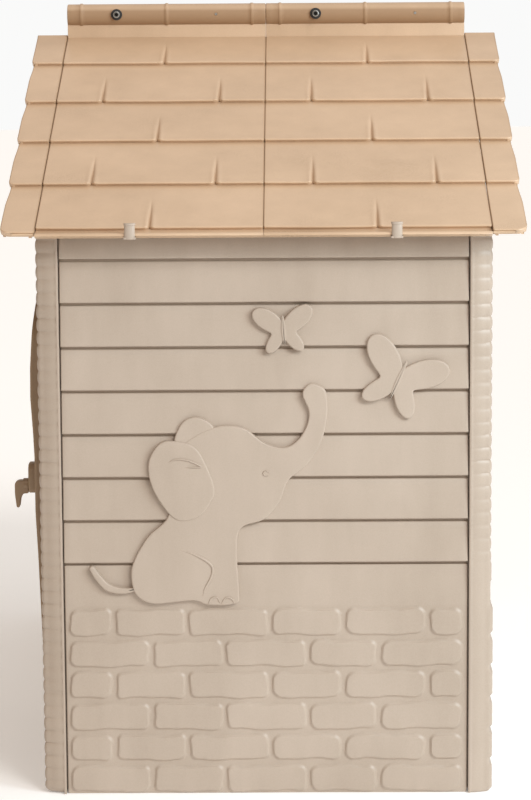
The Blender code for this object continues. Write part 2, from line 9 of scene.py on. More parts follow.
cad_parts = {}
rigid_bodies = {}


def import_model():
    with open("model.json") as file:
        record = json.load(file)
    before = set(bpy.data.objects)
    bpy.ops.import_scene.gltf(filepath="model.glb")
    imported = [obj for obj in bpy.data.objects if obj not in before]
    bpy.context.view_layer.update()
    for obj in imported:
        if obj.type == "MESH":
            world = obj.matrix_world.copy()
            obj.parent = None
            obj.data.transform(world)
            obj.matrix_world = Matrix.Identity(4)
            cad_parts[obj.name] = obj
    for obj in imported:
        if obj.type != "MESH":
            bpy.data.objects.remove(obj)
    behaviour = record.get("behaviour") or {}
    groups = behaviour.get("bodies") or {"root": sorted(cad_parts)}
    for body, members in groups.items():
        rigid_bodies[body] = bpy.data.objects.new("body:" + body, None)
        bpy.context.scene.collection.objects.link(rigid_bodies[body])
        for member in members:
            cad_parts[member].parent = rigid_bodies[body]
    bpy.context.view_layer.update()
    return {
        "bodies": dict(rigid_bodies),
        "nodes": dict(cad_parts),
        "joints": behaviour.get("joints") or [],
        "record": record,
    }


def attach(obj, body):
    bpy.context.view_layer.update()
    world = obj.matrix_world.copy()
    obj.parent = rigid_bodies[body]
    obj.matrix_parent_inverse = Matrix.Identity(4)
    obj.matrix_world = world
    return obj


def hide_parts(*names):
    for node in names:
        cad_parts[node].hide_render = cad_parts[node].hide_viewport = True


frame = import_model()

# ---- Studio ------------------------------------------------------------------------------
# The house stands on a pale floor in a white room. Soft light comes down on its right side wall
# from the rear end, and a cool lamp there lights that end of the wall more than the door's end.

CAMERA_PLACE = Vector((0.040, -4.733, 1.230))
CAMERA_YAW = -0.0095
CAMERA_TILT = -0.1492
CAMERA_ROLL = -0.0066
CAMERA_LENS = 122.9
FLOOR_RADIUS = 20
FLOOR_CORNERS = 64


def camera_turn(yaw, tilt, roll):
    """Rotation of a camera that looks along +Y, swung by yaw, tipped by tilt, then rolled."""
    level = math.cos(tilt)
    forward = Vector((math.sin(yaw) * level, math.cos(yaw) * level, math.sin(tilt)))
    right = Vector((math.cos(yaw), -math.sin(yaw), 0))
    up = right.cross(forward)
    across = math.cos(roll) * right + math.sin(roll) * up
    over = -math.sin(roll) * right + math.cos(roll) * up
    return Matrix((across, over, -forward)).transposed()


camera = bpy.data.objects.new("camera", bpy.data.cameras.new("camera"))
camera.data.lens = CAMERA_LENS
camera.data.clip_end = 60
camera_axes = camera_turn(CAMERA_YAW, CAMERA_TILT, CAMERA_ROLL)
camera.matrix_world = Matrix.Translation(CAMERA_PLACE) @ camera_axes.to_4x4()
bpy.context.scene.collection.objects.link(camera)
bpy.context.scene.camera = camera
bpy.context.scene.view_settings.view_transform = "Standard"

world = bpy.data.worlds.new("studio")
bpy.context.scene.world = world
world.use_nodes = True
room = world.node_tree


def room_node(kind, settings=None, inputs=None, links=None):
    """A node of the room's light: its settings, its inputs' values, and links into its inputs."""
    node = room.nodes.new("ShaderNode" + kind)
    for key, value in (settings or {}).items():
        setattr(node, key, value)
    for key, value in (inputs or {}).items():
        node.inputs[key].default_value = value
    for key, source in (links or {}).items():
        room.links.new(source, node.inputs[key])
    return node


# The room is brighter overhead than along its walls, and darker and warmer towards -X. Where it
# shows behind the house it is one plain white.
looking = room_node("SeparateXYZ", links={0: room_node("TexCoord").outputs["Generated"]})
rise = room_node("MapRange", None, {1: -0.1, 2: 1.0, 3: 0.33, 4: 1.05}, {0: looking.outputs[2]})
whiter = room_node("MapRange", None, {1: -0.9, 2: 0.7, 3: 0.0, 4: 1.0}, {0: looking.outputs[0]})
sides = {6: (0.58, 0.43, 0.30, 1), 7: (1.0, 1.0, 1.0, 1)}
tint = room_node("Mix", {"data_type": "RGBA"}, sides, {0: whiter.outputs[0]})
light = room.nodes["Background"]
room.links.new(tint.outputs[2], light.inputs["Color"])
room.links.new(rise.outputs[0], light.inputs["Strength"])
plain = room_node("Background", None, {"Color": (0.955, 0.955, 0.95, 1)})
behind_house = room_node("LightPath").outputs["Is Camera Ray"]
choice = {1: light.outputs[0], 2: plain.outputs[0], 0: behind_house}
shown = room_node("MixShader", links=choice)
room.links.new(shown.outputs[0], room.nodes["World Output"].inputs["Surface"])


def lamp(kind, name, place, target, power, colour, **settings):
    """A lamp of a kind at a place, facing a target."""
    made = bpy.data.objects.new(name, bpy.data.lights.new(name, kind))
    made.data.energy = power
    made.data.color = colour
    for key, value in settings.items():
        setattr(made.data, key, value)
    made.location = place
    made.rotation_euler = (Vector(target) - Vector(place)).to_track_quat("-Z", "Y").to_euler()
    bpy.context.scene.collection.objects.link(made)


lamp("SUN", "ceiling", (2.0, -3.2, 2.5), (0, 0, 0), 1.20, (1.0, 0.99, 0.97), angle=0.35)
lamp("AREA", "key", (1.7, -1.9, 1.5), (0.2, -0.6, 0.6), 26, (0.78, 0.93, 1.0), size=0.7)



def unit_circle(sides):
    """Points evenly round a circle of radius 1."""
    turn = np.linspace(0, 2 * np.pi, sides, endpoint=False)
    return np.stack([np.cos(turn), np.sin(turn)], axis=1)


floor_mesh = bpy.data.meshes.new("floor")
rim = np.column_stack([FLOOR_RADIUS * unit_circle(FLOOR_CORNERS), np.full(FLOOR_CORNERS, -0.0005)])
floor_mesh.from_pydata(rim.tolist(), [], [list(range(FLOOR_CORNERS))])
floor = bpy.data.objects.new("floor", floor_mesh)
bpy.context.scene.collection.objects.link(floor)
floor_paint = bpy.data.materials.new("floor_paint")
floor_paint.use_nodes = True
floor_shader = floor_paint.node_tree.nodes["Principled BSDF"]
floor_shader.inputs["Base Color"].default_value = (0.93, 0.93, 0.925, 1)
floor_shader.inputs["Roughness"].default_value = 0.7
floor_shader.inputs["Emission Color"].default_value = (1.0, 1.0, 0.99, 1)
floor_shader.inputs["Emission Strength"].default_value = 0.21
floor.data.materials.append(floor_paint)

# ---- Wall plastic ------------------------------------------------------------------------
# Walls, posts and clips are one light beige polyethylene with a fine satin skin: slightly uneven
# in colour, darkened by painted shade and a little duller in its grooves, and faintly pulled about
# by the moulding.


class Wire:
    """An output of a finish's node tree; arithmetic on it adds Math nodes."""

    def __init__(self, finish, socket):
        self.finish = finish
        self.socket = socket

    def maths(self, operation, *values):
        """A Math node of this operation on the values."""
        return self.finish.add("Math", {"operation": operation}, dict(enumerate(values)))

    def __add__(self, other):
        return self.maths("ADD", self, other)

    def __sub__(self, other):
        return self.maths("SUBTRACT", self, other)

    def __mul__(self, other):
        return self.maths("MULTIPLY", self, other)

    def clamped(self):
        """The value kept between 0 and 1."""
        return self.finish.add("Clamp", None, {"Value": self})


class Finish:
    """A material's node tree, built one node at a time around its Principled shader."""

    def __init__(self, name):
        self.material = bpy.data.materials.new(name)
        self.material.use_nodes = True
        self.tree = self.material.node_tree
        self.shader = self.tree.nodes["Principled BSDF"]

    def feed(self, socket, value):
        """Links a wire to a socket, or sets the socket's own value."""
        if isinstance(value, Wire):
            self.tree.links.new(value.socket, socket)
        else:
            socket.default_value = value

    def add(self, kind, settings=None, inputs=None, output=0):
        """A node of any kind: its settings are set first, then its inputs are fed."""
        node = self.tree.nodes.new("ShaderNode" + kind)
        for key, value in (settings or {}).items():
            setattr(node, key, value)
        for key, value in (inputs or {}).items():
            self.feed(node.inputs[key], value)
        return Wire(self, node.outputs[output])

    def mix(self, factor, first, second):
        """A colour between two colours."""
        return self.add("Mix", {"data_type": "RGBA"}, {0: factor, 6: first, 7: second}, output=2)

    def noise(self, place, scale, detail=2.0, roughness=0.5):
        """Smooth noise from 0 to 1 on a position."""
        inputs = {"Vector": place, "Scale": scale, "Detail": detail, "Roughness": roughness}
        return self.add("TexNoise", None, inputs)

    def shade(self, **inputs):
        """Feeds the Principled shader's inputs, named with _ for a space."""
        for key, value in inputs.items():
            self.feed(self.shader.inputs[key.replace("_", " ")], value)


def display(red, green, blue):
    """A colour given as 0 to 255 display values, as linear light."""
    return (*[((value / 255 + 0.055) / 1.055) ** 2.4 for value in (red, green, blue)], 1)


def tinted(colour, red, green, blue):
    """A colour with its channels multiplied."""
    return tuple(min(1.0, c * k) for c, k in zip(colour[:3], (red, green, blue))) + (1,)


def moulded_plastic(name, colour, roughness, mottle=1.1, grain=0.40, groove=0.6):
    """Coloured plastic: blotches and flow streaks in the colour, painted shade and dust in grooves, a
    fine skin.
    """
    finish = Finish(name)
    place = finish.add("TexCoord", output="Object")
    blotches = finish.noise(place, 5.0, 3.0)
    stretched = finish.add("Mapping", None, {"Vector": place, "Scale": (14.0, 14.0, 3.0)})
    streaks = finish.noise(stretched, 1.6, 3.0, 0.6)
    specks = finish.noise(place, 620.0, 2.0)
    level = (blotches - 0.5) * mottle + (streaks - 0.5) * (0.7 * mottle) + (specks - 0.5) * 0.6
    lighter = tinted(colour, 1.12, 1.12, 1.12)
    darker = tinted(colour, 0.89, 0.87, 0.84)
    paint = finish.mix((level + 0.5).clamped(), darker, lighter)
    hollow = finish.add("Attribute", {"attribute_name": "groove"}, output="Fac")
    # Painted shade: where the groove attribute is set the colour goes darker and browner, standing for
    # shade in grooves, seams and recesses; between the bricks it is a little dust.
    paint = finish.mix((hollow * groove).clamped(), paint, tinted(colour, 0.60, 0.52, 0.43))
    skin = finish.noise(place, 1100.0, 2.0)
    pulled = finish.noise(place, 16.0, 2.0)
    bump_inputs = {"Strength": grain, "Distance": 0.0006, "Height": skin * 0.35 + pulled}
    bump = finish.add("Bump", None, bump_inputs)
    dull = (blotches - 0.5) * 0.12 + (skin - 0.5) * 0.10 + hollow * 0.12 + roughness
    finish.shade(Base_Color=paint, Roughness=dull.clamped(), Normal=bump)
    return finish.material


beige = moulded_plastic("beige_plastic", display(178, 163, 149), 0.42)

# ---- Side walls --------------------------------------------------------------------------
# Each side wall is one moulding: lapped planks over a plain band and six rows of bricks, with a
# sitting elephant and two butterflies raised on it. The left wall is the right one turned round.

GAP = 0.0003  # from a seam between two pieces
CLEAR = 0.0003  # keeps two parts of one piece out of one plane
RIB = 0.004  # thickness of the ribs behind the skins
SIDE_HALF = 0.3086
SIDE_FACE = 0.643
SIDE_SKIN = 0.6305
SIDE_BACK = 0.613
WALL_TOP = 0.865
BAND_TOP = 0.364
BASE_TOP = 0.297
PLANK_PITCH = 0.0667
PLANK_LEAN = 0.0052
GROOVE_DEPTH = 0.0085
GROOVE_FEET = (0.0062, 0.0048, 0.0040)  # a face's end, groove's lip and floor, below the next plank
BRICK_RISE = 0.0034
BRICK_TOPS = (0.0440, 0.0930, 0.1430, 0.1930, 0.2420, 0.2920)
BRICK_FEET = (0.0015, 0.0520, 0.1000, 0.1500, 0.2000, 0.2490)


def grid_quads(rows, columns):
    """The quads of a grid of points numbered row by row."""
    index = np.arange(rows * columns).reshape(rows, columns)
    corners = (index[:-1, :-1], index[:-1, 1:], index[1:, 1:], index[1:, :-1])
    return np.stack(corners, axis=-1).reshape(-1, 4)


def grid_edge(rows, columns):
    """The numbers of a grid's outer points, in order round it."""
    index = np.arange(rows * columns).reshape(rows, columns)
    return np.concatenate([index[0, :-1], index[:-1, -1], index[-1, :0:-1], index[:0:-1, 0]])


def tray(front, push, groove=0.0):
    """A closed slab: a grid of points, its edge pushed back by a function, and a flat back."""
    rows, columns = front.shape[:2]
    points = front.reshape(-1, 3)
    edge = grid_edge(rows, columns)
    behind = len(points) + np.arange(len(edge))
    skirt = np.stack([edge, behind, np.roll(behind, -1), np.roll(edge, -1)], axis=1)
    quads = np.concatenate([grid_quads(rows, columns), skirt])
    shade = np.broadcast_to(groove, (rows, columns)).reshape(-1)
    points = np.concatenate([points, push(points[edge])])
    return points, quads, [behind], np.concatenate([shade, np.zeros(len(edge))])


def slab(front, back, groove=0.0):
    """A closed shell between two grids of the same size."""
    rows, columns = front.shape[:2]
    count = rows * columns
    edge = grid_edge(rows, columns)
    skirt = np.stack([edge, edge + count, np.roll(edge, -1) + count, np.roll(edge, -1)], axis=1)
    face = grid_quads(rows, columns)
    quads = np.concatenate([face, face + count, skirt])
    shade = np.broadcast_to(groove, (rows, columns)).reshape(-1)
    points = np.concatenate([front.reshape(-1, 3), back.reshape(-1, 3)])
    return points, quads, [], np.concatenate([shade, np.zeros(count)])


def tube(rings, closed=False, groove=0.0):
    """A solid through loops of points: its ends are capped, or the last loop meets the first."""
    count, around = rings.shape[:2]
    index = np.arange(count * around).reshape(count, around)
    index = np.concatenate([index, index[:, :1]], axis=1)
    if closed:
        index = np.concatenate([index, index[:1]], axis=0)
    corners = (index[:-1, :-1], index[:-1, 1:], index[1:, 1:], index[1:, :-1])
    quads = np.stack(corners, axis=-1).reshape(-1, 4)
    caps = [] if closed else [index[0, :-1], index[-1, :-1]]
    shade = np.broadcast_to(groove, (count, around)).reshape(-1)
    return rings.reshape(-1, 3), quads, caps, shade


SHARP_ANGLE = math.radians(38)


def piece(name, parts, material, body, slot, replaced, turn=(1, 1, 1)):
    """One object from closed parts, turned or mirrored by signs; its place is in its mesh.

    A part is its points, its four-sided faces, its end caps and its points' share of painted groove
    shade and dust.
    """
    starts = np.cumsum([0] + [len(part[0]) for part in parts])
    corners = [(part[1] + start).ravel() for part, start in zip(parts, starts)]
    corners += [cap + start for part, start in zip(parts, starts) for cap in part[2]]
    sizes = [np.full(len(part[1]), 4) for part in parts]
    sizes += [np.array([len(cap)]) for part in parts for cap in part[2]]
    corners, sizes = np.concatenate(corners), np.concatenate(sizes)
    points = np.concatenate([part[0] for part in parts]) * np.array(turn)
    mesh = bpy.data.meshes.new(name)
    mesh.vertices.add(len(points))
    mesh.vertices.foreach_set("co", points.astype(np.float32).ravel())
    mesh.loops.add(len(corners))
    mesh.loops.foreach_set("vertex_index", corners.astype(np.int32))
    mesh.polygons.add(len(sizes))
    mesh.polygons.foreach_set("loop_start", (np.cumsum(sizes) - sizes).astype(np.int32))
    mesh.update(calc_edges=True)
    # Each point's share of painted shade, and of a little dust between the bricks, goes into the
    # groove attribute.
    shade_and_dust_share = np.concatenate([part[3] for part in parts]).astype(np.float32)
    mesh.attributes.new("groove", "FLOAT", "POINT").data.foreach_set("value", shade_and_dust_share)
    shape = bmesh.new()
    shape.from_mesh(mesh)
    bmesh.ops.recalc_face_normals(shape, faces=shape.faces)
    shape.to_mesh(mesh)
    shape.free()
    mesh.shade_smooth()
    mesh.set_sharp_from_angle(angle=SHARP_ANGLE)
    mesh.materials.append(material)
    made = bpy.data.objects.new(name, mesh)
    bpy.context.scene.collection.objects.link(made)
    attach(made, body)
    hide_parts(*replaced)


def facing_x(flat, depth):
    """Points of a flat outline given as (y, z), at a depth along X."""
    return np.column_stack([np.full(len(flat), depth), flat])


def facing_y(flat, depth):
    """Points of a flat outline given as (x, z), at a depth along Y."""
    return np.column_stack([flat[:, 0], np.full(len(flat), depth), flat[:, 1]])


def facing_z(flat, depth):
    """Points of a flat outline given as (x, y), at a height."""
    return np.column_stack([flat, np.full(len(flat), depth)])


def turned_left(outline):
    """The outline, put in anticlockwise order."""
    after = np.roll(outline, -1, axis=0)
    area = np.sum(outline[:, 0] * after[:, 1] - after[:, 0] * outline[:, 1])
    return outline if area > 0 else outline[::-1]


def outward(outline):
    """Mitred outward normals of an anticlockwise outline: moving by d moves every side by d."""
    before = outline - np.roll(outline, 1, axis=0)
    after = np.roll(outline, -1, axis=0) - outline
    before /= np.maximum(np.linalg.norm(before, axis=1, keepdims=True), 1e-12)
    after /= np.maximum(np.linalg.norm(after, axis=1, keepdims=True), 1e-12)
    first = np.stack([before[:, 1], -before[:, 0]], axis=1)
    total = first + np.stack([after[:, 1], -after[:, 0]], axis=1)
    return total / np.maximum((total * first).sum(axis=1, keepdims=True), 0.4)


def pillow(outline, low, high, radius, place, square_foot=False):
    """A flat outline given thickness, its edges rounded by quarter circles except at a square foot."""
    outline = turned_left(np.array(outline, float))
    out = outward(outline)
    turns = np.linspace(0, math.pi / 2, 4)
    quarter = [(radius * (1 - math.sin(t)), radius * (1 - math.cos(t))) for t in turns]
    way = 1 if high > low else -1
    levels = [(1.7 * radius, low)] + [(inset, low + way * rise) for inset, rise in quarter]
    if square_foot:
        levels = [(0, low)]
    levels += [(inset, high - way * rise) for inset, rise in quarter[::-1]] + [(1.7 * radius, high)]
    return tube(np.stack([place(outline - out * inset, level) for inset, level in levels]))


def bar(low, high, radius=0.0006):
    """A straight rib between two corners, with its ends' edges rounded."""
    (x0, y0, z0), (x1, y1, z1) = low, high
    return pillow([(x0, y0), (x1, y0), (x1, y1), (x0, y1)], z0, z1, radius, facing_z)


def spline(points, steps=6, closed=True):
    """Catmull-Rom curve through points, with a number of steps between each two."""
    points = np.array(points, float)
    if closed:
        parts = [np.roll(points, 1 - shift, axis=0) for shift in range(4)]
    else:
        before, after = 2 * points[:1] - points[1:2], 2 * points[-1:] - points[-2:-1]
        points = np.concatenate([before, points, after])
        parts = [points[:-3], points[1:-2], points[2:-1], points[3:]]
    a, b, c, d = (part[:, None, :] for part in parts)
    t = np.linspace(0, 1, steps, endpoint=False)[None, :, None]
    bend = (2 * a - 5 * b + 4 * c - d) * t**2 + (3 * b - a - 3 * c + d) * t**3
    curve = (0.5 * (2 * b + (c - a) * t + bend)).reshape(-1, points.shape[1])
    return curve if closed else np.concatenate([curve, points[-2:-1]])


def ribbon(path, widths):
    """Outline of a strip round an open flat path, its width running through the given widths."""
    run = np.gradient(path, axis=0)
    run /= np.linalg.norm(run, axis=1, keepdims=True)
    side = np.stack([run[:, 1], -run[:, 0]], axis=1)
    share = np.linspace(0, 1, len(path))
    half = np.interp(share, np.linspace(0, 1, len(widths)), np.array(widths) / 2)[:, None]
    ends = np.linspace(0, math.pi, 7)[1:-1, None]
    tip = path[-1] + half[-1] * (side[-1] * np.cos(ends) + run[-1] * np.sin(ends))
    root = path[0] - half[0] * (side[0] * np.cos(ends) + run[0] * np.sin(ends))
    return np.concatenate([path + side * half, tip, (path - side * half)[::-1], root])


def soft_step(value):
    """0 below 0 and 1 above 1, with a smooth curve between."""
    value = np.clip(value, 0, 1)
    return value * value * (3 - 2 * value)


def edge_round(distance, radius):
    """How far a surface drops at a distance from its edge, over a quarter circle."""
    near = np.clip(radius - distance, 0, radius)
    return radius - np.sqrt(radius**2 - near**2)


def warp(across, height):
    """The slight unevenness of a large thin moulding."""
    swell = np.sin(across * 11 + 1.3) * np.cos(height * 9)
    return 0.00025 * (swell + np.sin(across * 23 + height * 17))


def plank_section(low, high, extra=()):
    """Heights and depths of lapped planks: each face leans back from its foot up to a groove."""
    foot = BAND_TOP - PLANK_PITCH * math.ceil((BAND_TOP - low) / PLANK_PITCH)
    feet = np.arange(foot, high, PLANK_PITCH)[:, None]
    face, lip, floor = (PLANK_PITCH - drop for drop in GROOVE_FEET)
    fifths = np.array([0.2, 0.4, 0.6, 0.8, 1])
    rises = np.r_[0, 1e-5, 0.0005, 0.0014, face * fifths, lip, floor]
    depths = np.r_[GROOVE_DEPTH, 0.0015, 0.0006, 0, PLANK_LEAN * fifths, PLANK_LEAN + 0.0012]
    depths = np.r_[depths, GROOVE_DEPTH]
    heights, depths = (feet + rises).ravel(), np.tile(depths, len(feet))
    chosen = np.unique(np.r_[low, heights[(heights > low) & (heights < high)], high, extra])
    return chosen, np.interp(chosen, heights, depths)


def brick_field(across, height, joints, ends):
    """Rise of hand-laid bricks: soft steps on the distance inside boxes with round, wavy corners."""
    rise = np.zeros_like(across)
    for row, (low, high) in enumerate(zip(BRICK_FEET, BRICK_TOPS)):
        stops = [ends[0], *joints[row % 2], ends[1]]
        for number, (left, right) in enumerate(zip(stops, stops[1:])):
            phase = 2.1 * row + 1.7 * number
            wave = 0.0012 * np.sin(across * 52 + phase) + 0.0007 * np.sin(across * 117 + 2 * phase)
            lean = 0.0011 * np.sin(height * 90 + phase)
            half = np.array([(right - left) / 2 - 0.0024, (high - low) / 2])
            corner = 0.0120 + 0.003 * math.sin(3 * phase)
            side = np.abs(across + lean - (left + right) / 2) - half[0] + corner
            level = np.abs(height + wave - (low + high) / 2) - half[1] + corner
            outside = np.hypot(np.maximum(side, 0), np.maximum(level, 0))
            distance = corner - outside - np.minimum(np.maximum(side, level), 0)
            rise = np.maximum(rise, soft_step(distance / 0.0036))
    return rise * BRICK_RISE


def base_heights(low, high, spacing=0.0018):
    """Rows of the brick base and the plain band above it, up to the first plank's groove."""
    _, lip, floor = (BAND_TOP - drop for drop in GROOVE_FEET)
    rows = np.r_[np.arange(0, BASE_TOP, spacing), np.linspace(BASE_TOP, lip, 8), floor, BAND_TOP]
    return np.r_[low, rows[(rows > low) & (rows < high)], high]


def base_depth(across, height, joints, ends):
    """Depth of the bricks and of the band, which leans back to the first plank's groove."""
    _, lip, floor = (BAND_TOP - drop for drop in GROOVE_FEET)
    stops = (0, BASE_TOP, BASE_TOP + 0.003, lip, floor)
    depth = np.interp(height, stops, (0.0036, 0.0036, 0.0028, 0.0058, GROOVE_DEPTH))
    return depth - brick_field(across, height, joints, ends)


def base_shade_and_dust(depth, height):
    """Painted shade and dust: a little dust between the bricks, and painted shade in the groove over
    the band.
    """
    between = 0.06 * soft_step((depth - 0.0022) / 0.0012) * (height < BASE_TOP)
    return between + soft_step((depth - 0.0064) / 0.002)


SIDE_JOINTS = ([-0.177, -0.065, 0.0645, 0.173], [-0.2345, -0.122, 0.0065, 0.118, 0.2475])
SIDE_ENDS = (-0.305, 0.304)


def side_front(across, height, depth):
    """Grid points of the outer face, with its upright edges rounded."""
    depth = depth + edge_round(SIDE_HALF - np.abs(across), 0.0016) + warp(across, height)
    return np.stack([across, depth - SIDE_FACE, height], axis=-1)


def side_push(points):
    """Takes edge points back to the skin's inner plane."""
    return np.column_stack([points[:, 0], np.full(len(points), -SIDE_SKIN), points[:, 2]])


def side_columns(count):
    """Columns across the wall, closer together at its rounded edges."""
    edge = SIDE_HALF - np.array([0, 0.0003, 0.0008])
    return np.r_[-edge, np.linspace(-SIDE_HALF + 0.0016, SIDE_HALF - 0.0016, count), edge[::-1]]


heights, depths = plank_section(BAND_TOP, WALL_TOP)
across, height = np.meshgrid(side_columns(70), heights)
depth = np.broadcast_to(depths[:, None], across.shape) + edge_round(WALL_TOP - height, 0.0015)
# Painted shade: the colour is darkened in the deepest part of each plank's groove.
shade_and_dust = soft_step((depth - 0.0055) / 0.0025)
face = side_front(across, height, depth)
side_parts = [slab(face, side_push(face.reshape(-1, 3)).reshape(face.shape), shade_and_dust)]
across, height = np.meshgrid(side_columns(340), base_heights(0, BAND_TOP))
depth = base_depth(across, height, SIDE_JOINTS, SIDE_ENDS)
side_parts.append(tray(side_front(across, height, depth), side_push, base_shade_and_dust(depth, height)))
for x in np.linspace(-SIDE_HALF, SIDE_HALF - RIB, 4):
    side_parts.append(bar((x, -SIDE_SKIN, 0.0005), (x + RIB, -SIDE_BACK, WALL_TOP - 0.0005)))
for z in np.linspace(0.0005, WALL_TOP - 0.0005 - RIB, 4):
    side_parts.append(bar((-SIDE_HALF, -SIDE_SKIN, z), (SIDE_HALF, -SIDE_BACK, z + RIB)))

RELIEF_FACE = 0.6480
RELIEF_ROOT = 0.6325


def relief(outline, rise=0.0, root=RELIEF_ROOT, radius=0.0020):
    """A figure in millimetres raised on the wall to the reliefs' common face, or past it."""
    return pillow(np.array(outline) / 1000, -root, -RELIEF_FACE - rise, radius, facing_y, True)


def bead(points, widths, rise, steps=5):
    """A raised line through points in millimetres: a half ellipse carried along their curve."""
    path = spline(points, steps, False) / 1000
    run = np.gradient(path, axis=0)
    run /= np.linalg.norm(run, axis=1, keepdims=True)
    side = np.stack([run[:, 1], -run[:, 0]], axis=1)[:, None]
    share = np.linspace(0, 1, len(path))
    half = np.interp(share, np.linspace(0, 1, len(widths)), widths)[:, None] / 2000
    turn = np.linspace(0, np.pi, 9)
    flat = path[:, None] + side * (half * np.cos(turn))[..., None]
    out = RELIEF_FACE - 0.0004 + (rise + 0.0004) * np.sin(turn) * half / half.max()
    rings = np.stack([flat[..., 0], -out, flat[..., 1]], axis=-1)
    # Painted shade: the colour darkens towards the bead's edges, where it meets the relief.
    return tube(rings, groove=1.2 * (1 - np.sin(turn)))


# The elephant, in millimetres across the wall and up it: outlines of its raised parts, then the
# lines of its ear's fold, haunch, eye and toes.
BODY = [
    (-34, 573), (0, 549), (32, 543), (56, 562), (67, 594), (57, 624), (66, 639), (80, 638), (93, 626),
    (94, 588), (84, 548), (62, 515), (35, 492), (22, 460), (-2, 432), (-38, 418), (-44, 378),
    (-41, 318), (-46, 301), (-88, 299), (-112, 306), (-170, 301), (-196, 312), (-205, 334),
    (-203, 364), (-180, 405), (-147, 440), (-150, 500), (-128, 545), (-78, 574),
]
NEAR_EAR = [
    (-105, 542), (-129, 552), (-158, 551), (-177, 522), (-172, 482), (-146, 440), (-124, 430),
    (-100, 438), (-84, 458), (-77, 478), (-88, 512),
]
FAR_EAR = [(-136, 548), (-131, 573), (-118, 587), (-100, 589), (-80, 577), (-70, 552), (-100, 535)]
TAIL = [(-190, 326), (-216, 321), (-241, 326), (-256, 341), (-266, 356)]
EAR_FOLD = [(-152, 517), (-138, 525), (-118, 524), (-97, 514), (-112, 513), (-128, 512)]
HAUNCH = [
    (-133, 386), (-112, 379), (-94, 370), (-83, 361), (-81, 351), (-85, 339), (-93, 325), (-96, 313),
]
EYE = [(2 + 4.6 * math.cos(t), 503 + 3.8 * math.sin(t)) for t in np.linspace(0.3, 5.4, 12)]
TOES = (
    [(-88, 300), (-84, 309), (-75, 311), (-70, 302)],
    [(-68, 301), (-62, 310), (-53, 309), (-48, 301)],
)
BUTTERFLIES = (((29, 722), 49, 4), ((202, 645), 71, -24))  # middle, wing reach, tilt in degrees


def butterfly(middle, reach, tilt):
    """Four wings from a polar formula: two wide lobes above and two narrower ones below."""
    turn = np.linspace(-180, 180, 72, endpoint=False)
    upper = np.exp(-(((np.abs(turn) - 54) / 33) ** 2))
    lower = np.exp(-(((np.abs(turn) - 140) / 27) ** 2))
    radius = reach * (0.20 + 0.92 * upper + 0.66 * lower)
    angle = np.radians(turn - tilt)
    return np.stack([middle[0] + radius * np.sin(angle), middle[1] + radius * np.cos(angle)], axis=1)


def butterfly_body(middle, reach, tilt):
    """A thin tapering strip along the butterfly's length, between its wings."""
    lean = math.radians(tilt)
    run = np.array([[math.sin(lean), math.cos(lean)]]) * np.linspace(-0.42, 0.42, 7)[:, None] * reach
    return ribbon(run * (-1, 1) + middle, (2, 6, 7, 6, 3))


tail = ribbon(spline(TAIL, 5, False), (3, 9, 11, 10, 8))
side_parts += [relief(spline(BODY, 5)), relief(spline(FAR_EAR, 5), -0.0006)]
side_parts += [relief(spline(NEAR_EAR, 5), 0.0016), relief(tail, -0.0007)]
side_parts.append(bead(EAR_FOLD, (1.5, 4, 4, 4, 1.5), 0.0034))
side_parts += [bead(HAUNCH, (1, 4.5, 5, 4.5, 2), 0.0017), bead(EYE, (1.8, 2.8, 1.8), 0.0015, 3)]
side_parts += [bead(toe, (2, 3.4, 2), 0.0016) for toe in TOES]
for figure in BUTTERFLIES:
    side_parts.append(relief(butterfly(*figure)))
    side_parts.append(relief(butterfly_body(*figure), 0.0010, RELIEF_FACE - 0.002, 0.0009))
for node, turn in (("side_wall_right", (1, 1, 1)), ("side_wall_left", (-1, -1, 1))):
    piece(f"{node}_moulding", side_parts, beige, "house", "wall_plastic", [node], turn)

# ---- Front and rear walls ----------------------------------------------------------------
# Each gable wall is two mouldings that meet at the middle, each with its own ribbed corner post.
# The right front half has the doorway, the other three an arched window with a raised frame.

FACE_X = 0.341
FACE_SKIN = 0.3305
FACE_BACK = 0.311
POST_X = 0.345
POST_Y = 0.645
POST_INNER = 0.585
GABLE_APEX = 1.1395
GABLE_FOOT = 0.8997  # height of its slope at the post
ROOF_FALL = 0.41
POST_TOP = GABLE_APEX - ROOF_FALL * POST_Y
RIB_PITCH = 0.0200
RIB_RISE = 0.0030
DOORWAY = (0.135, 0.575, 0.040, 0.700, 0.800)  # sides, sill, spring and crown of its arch
WINDOW = (0.200, 0.440, 0.400, 0.685, 0.745)
EYE_BORE = 0.0034
PIN_RADIUS = 0.003
SEAM_SCREWS = (0.250, 1.000)
FACADE_JOINTS = ([0.066, 0.178, 0.300, 0.412, 0.520], [0.118, 0.236, 0.352, 0.470])


def arch(left, right, sill, spring, crown, inset=0.0, steps=24):
    """An opening's outline, anticlockwise: straight sides and half an ellipse above the spring."""
    middle, half = (left + right) / 2, (right - left) / 2 - inset
    turn = np.linspace(0, math.pi, steps + 1)
    rise = crown - inset - spring
    top = np.stack([middle + half * np.cos(turn), spring + rise * np.sin(turn)], axis=1)
    return np.concatenate([[(left + inset, sill + inset), (right - inset, sill + inset)], top])


def arch_half_width(opening, grown):
    """A function of height: half the width of an opening grown by a margin, at least 1 mm."""
    left, right, _, spring, crown = opening
    half = (right - left) / 2 + grown

    def width(height):
        """Constant below the spring, then a quarter of an ellipse."""
        share = np.clip((height - spring) / (crown + grown - spring), 0, 1)
        return np.maximum(half * np.sqrt(1 - share**2), 0.001)

    return width


def gable_edge(height):
    """How far from the middle the wall's skin reaches: to its post, or to the roof's slope."""
    return np.clip((GABLE_APEX - height) / ROOF_FALL, GAP + 0.002, POST_INNER + 0.001)


